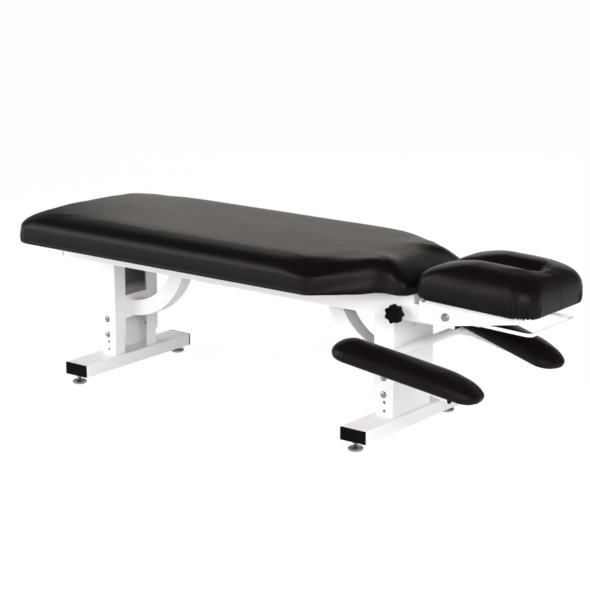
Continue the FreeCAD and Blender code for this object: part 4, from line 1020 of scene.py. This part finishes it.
def hem(name, edge, inner, body, transform, spacing):
    """The stapled strip of vinyl between two lines under a board, left out where a tube or a screw is in the way."""
    points = [transform @ (Vector((*point, -0.05)) * MM) for line in (edge, inner) for point in line]
    total = len(edge)
    closed = np.linalg.norm(edge[0] - edge[-1]) < 60
    faces, staples = [], ([], [])
    walked = 0.0
    for i in range(total if closed else total - 1):
        j = (i + 1) % total
        quad = (i, j, total + j, total + i)
        middle = (points[i] + points[j] + points[total + i] + points[total + j]) / 4
        if any(OTHERS.find_nearest(point, 0.2)[3] < HEM_CLEAR * MM for point in [*(points[k] for k in quad), middle]):
            continue
        faces.append(quad)
        walked += (points[i] - points[j]).length / MM
        if walked > spacing:
            walked = 0.0
            centre = Vector((*((edge[i] + edge[j] + inner[i] + inner[j]) / 4), 0))
            along = Vector((*(edge[j] - edge[i]), 0)).normalized()
            along.rotate(Euler((0, 0, 0.3 * math.sin(i * 1.7))))
            wire(*staples, [centre + along * reach + Vector((0, 0, down)) for reach, down in STAPLE], 0.42, sides=6)
    strip = add_mesh(f"{name}_hem", points, faces)
    work = bmesh.new()
    work.from_mesh(strip.data)
    bmesh.ops.delete(work, geom=[v for v in work.verts if not v.link_faces], context="VERTS")
    bmesh.ops.recalc_face_normals(work, faces=work.faces)
    if sum(face.normal.z for face in work.faces) > 0:
        bmesh.ops.reverse_faces(work, faces=work.faces)
    work.to_mesh(strip.data)
    work.free()
    mod = strip.modifiers.new("thickness", "SOLIDIFY")
    mod.thickness = 0.9 * MM
    mod.offset = 1.0
    apply_modifiers(strip)
    finish_piece(strip, "vinyl", body)
    bars = add_mesh(f"{name}_staples", [transform @ (point * MM) for point in staples[0]], staples[1])
    finish_piece(bars, "zinc_steel", body)


def hems():
    def ragged(line, seed):
        shift = [1.6 * noise.noise(Vector((k * 0.37, seed, 0))) for k in range(len(line))]
        return line + np.array(shift)[:, None]

    def flat(ring):
        return ring[:, :2]

    hem("body", flat(body_ring(7, 7, 7, 7, 0)), ragged(flat(body_ring(36, 36, 36, 36, 0)), 1), "frame", ON_RAILS, 27.0)
    edge, _ = headrest_ring(6, 6, 6, 6)
    inner, _ = headrest_ring(6, 22, 22, 6)
    hem("headrest", edge[8:-8], ragged(inner[8:-8], 2), "headrest", HEADREST_TURN @ ON_RAILS, 22.0)
    for name, side in (("near", -1), ("far", 1)):
        hem(f"{name}_armrest", flat(armrest_ring(9, 0)), ragged(flat(armrest_ring(27, 0)), 3 + side), "frame",
            armrest_seat(side), 24.0)


hems()

# ---------------- edges of the CAD nodes
for name in frame["nodes"]:
    if name.endswith("_cushion"):
        continue
    if "sleeve" in name or "post" in name and "tube" not in name:
        soften(name, 1.2, 3)
    elif "rail" in name or "crossmember" in name or name.endswith("base_tube"):
        soften(name, 2.0, 3)
    elif name.endswith("brace"):
        soften(name, 3.0, 3)
    elif "caps" in name or "arm" in name and "tube" not in name and "screws" not in name or "tie" in name:
        soften(name, 1.0, 2)

# ---------------- floor, light and camera
def show_directly(tree, kinds, share, unseen, seen, output):
    """Shows one shader by a share to rays of the given kinds, and another to all other rays."""
    rays = node(tree, "LightPath")
    direct = rays.outputs[kinds[0]]
    for kind in kinds[1:]:
        direct = calculate(tree, "MAXIMUM", direct, rays.outputs[kind])
    direct = calculate(tree, "MULTIPLY", direct, share)
    mix = node(tree, "MixShader")
    for socket, value in zip(mix.inputs, (direct, unseen.outputs[0], seen.outputs[0])):
        put(tree, socket, value)
    put(tree, node(tree, output).inputs[0], mix.outputs[0])


def studio_floor():
    """A plain floor that looks white, with a trace of the object's shadow."""
    half = 30
    corners = [(-half, -half, 0), (half, -half, 0), (half, half, 0), (-half, half, 0)]
    made = add_mesh("studio_floor", corners, [(0, 1, 2, 3)], False)
    look = bpy.data.materials.new("studio_white")
    look.use_nodes = True
    tree = look.node_tree
    tree.nodes.clear()
    diffuse = node(tree, "BsdfDiffuse", Color=(0.8, 0.8, 0.8, 1))
    glow = node(tree, "Emission", Color=(1, 1, 1, 1), Strength=1.03)
    kinds = ["Is Camera Ray", "Is Glossy Ray", "Is Transmission Ray"]
    show_directly(tree, kinds, 0.95, diffuse, glow, "OutputMaterial")
    made.data.materials.append(look)


def sky():
    """Soft light from all round, brighter near the horizon, and white where the camera sees past the floor."""
    world = bpy.data.worlds.new("studio")
    bpy.context.scene.world = world
    world.use_nodes = True
    tree = world.node_tree
    tree.nodes.clear()
    split = node(tree, "SeparateXYZ", Vector=node(tree, "TexCoord").outputs["Generated"])
    tone = ramp(tree, split.outputs["Z"], [
        (0.0, (0.41, 0.405, 0.39)), (0.22, (0.32, 0.315, 0.305)), (0.5, (0.1, 0.1, 0.1)), (1.0, (0.05, 0.05, 0.05))])
    around = node(tree, "Background", Color=tone, Strength=1.0)
    white = node(tree, "Background", Color=(1, 1, 1, 1), Strength=1.0)
    show_directly(tree, ["Is Camera Ray", "Is Transmission Ray"], 1.0, around, white, "OutputWorld")


AIM = (0.0, 0.0, 0.35)


def softbox(name, azimuth, elevation, distance, width, height, radiance, tint=(1, 1, 1)):
    """A soft lamp at an azimuth from -Y towards +X. Its power follows from its area and how bright it looks."""
    lamp = bpy.data.lights.new(name, "AREA")
    lamp.shape = "RECTANGLE"
    lamp.size, lamp.size_y = width, height
    lamp.energy = math.pi * width * height * radiance
    lamp.color = tint
    made = bpy.data.objects.new(name, lamp)
    bpy.context.scene.collection.objects.link(made)
    a, e = math.radians(azimuth), math.radians(elevation)
    back = Vector((math.sin(a) * math.cos(e), -math.cos(a) * math.cos(e), math.sin(e)))
    made.location = Vector(AIM) + back * distance
    made.rotation_euler = (-back).to_track_quat("-Z", "Y").to_euler()
    made.visible_camera = False
    return made


def camera():
    """The photograph's viewpoint, solved from its perspective."""
    data = bpy.data.cameras.new("camera")
    data.lens, data.sensor_width = 111.66, 36.0
    data.clip_start, data.clip_end = 0.1, 100.0
    made = bpy.data.objects.new("camera", data)
    bpy.context.scene.collection.objects.link(made)
    yaw, pitch = math.radians(37.804), math.radians(13.917)
    made.location = (3.2931, -4.2497, 1.6796)
    forward = Vector((-math.sin(yaw) * math.cos(pitch), math.cos(yaw) * math.cos(pitch), -math.sin(pitch)))
    made.rotation_euler = forward.to_track_quat("-Z", "Y").to_euler()
    bpy.context.scene.camera = made


studio_floor()
sky()
softbox("near_foot_box", -42, 18, 4.0, 3.6, 2.1, 5.6, (0.98, 0.955, 1.0))
softbox("near_head_box", 47, 21, 4.0, 2.6, 1.8, 6.8, (0.98, 0.955, 1.0))
softbox("far_foot_box", -152, 16, 5.0, 4.2, 2.1, 0.86, (1.0, 0.935, 0.85))
softbox("head_fill", 85, 30, 5.0, 4.0, 3.0, 3.2).visible_glossy = False
camera()
bpy.context.scene.view_settings.view_transform = "Standard"
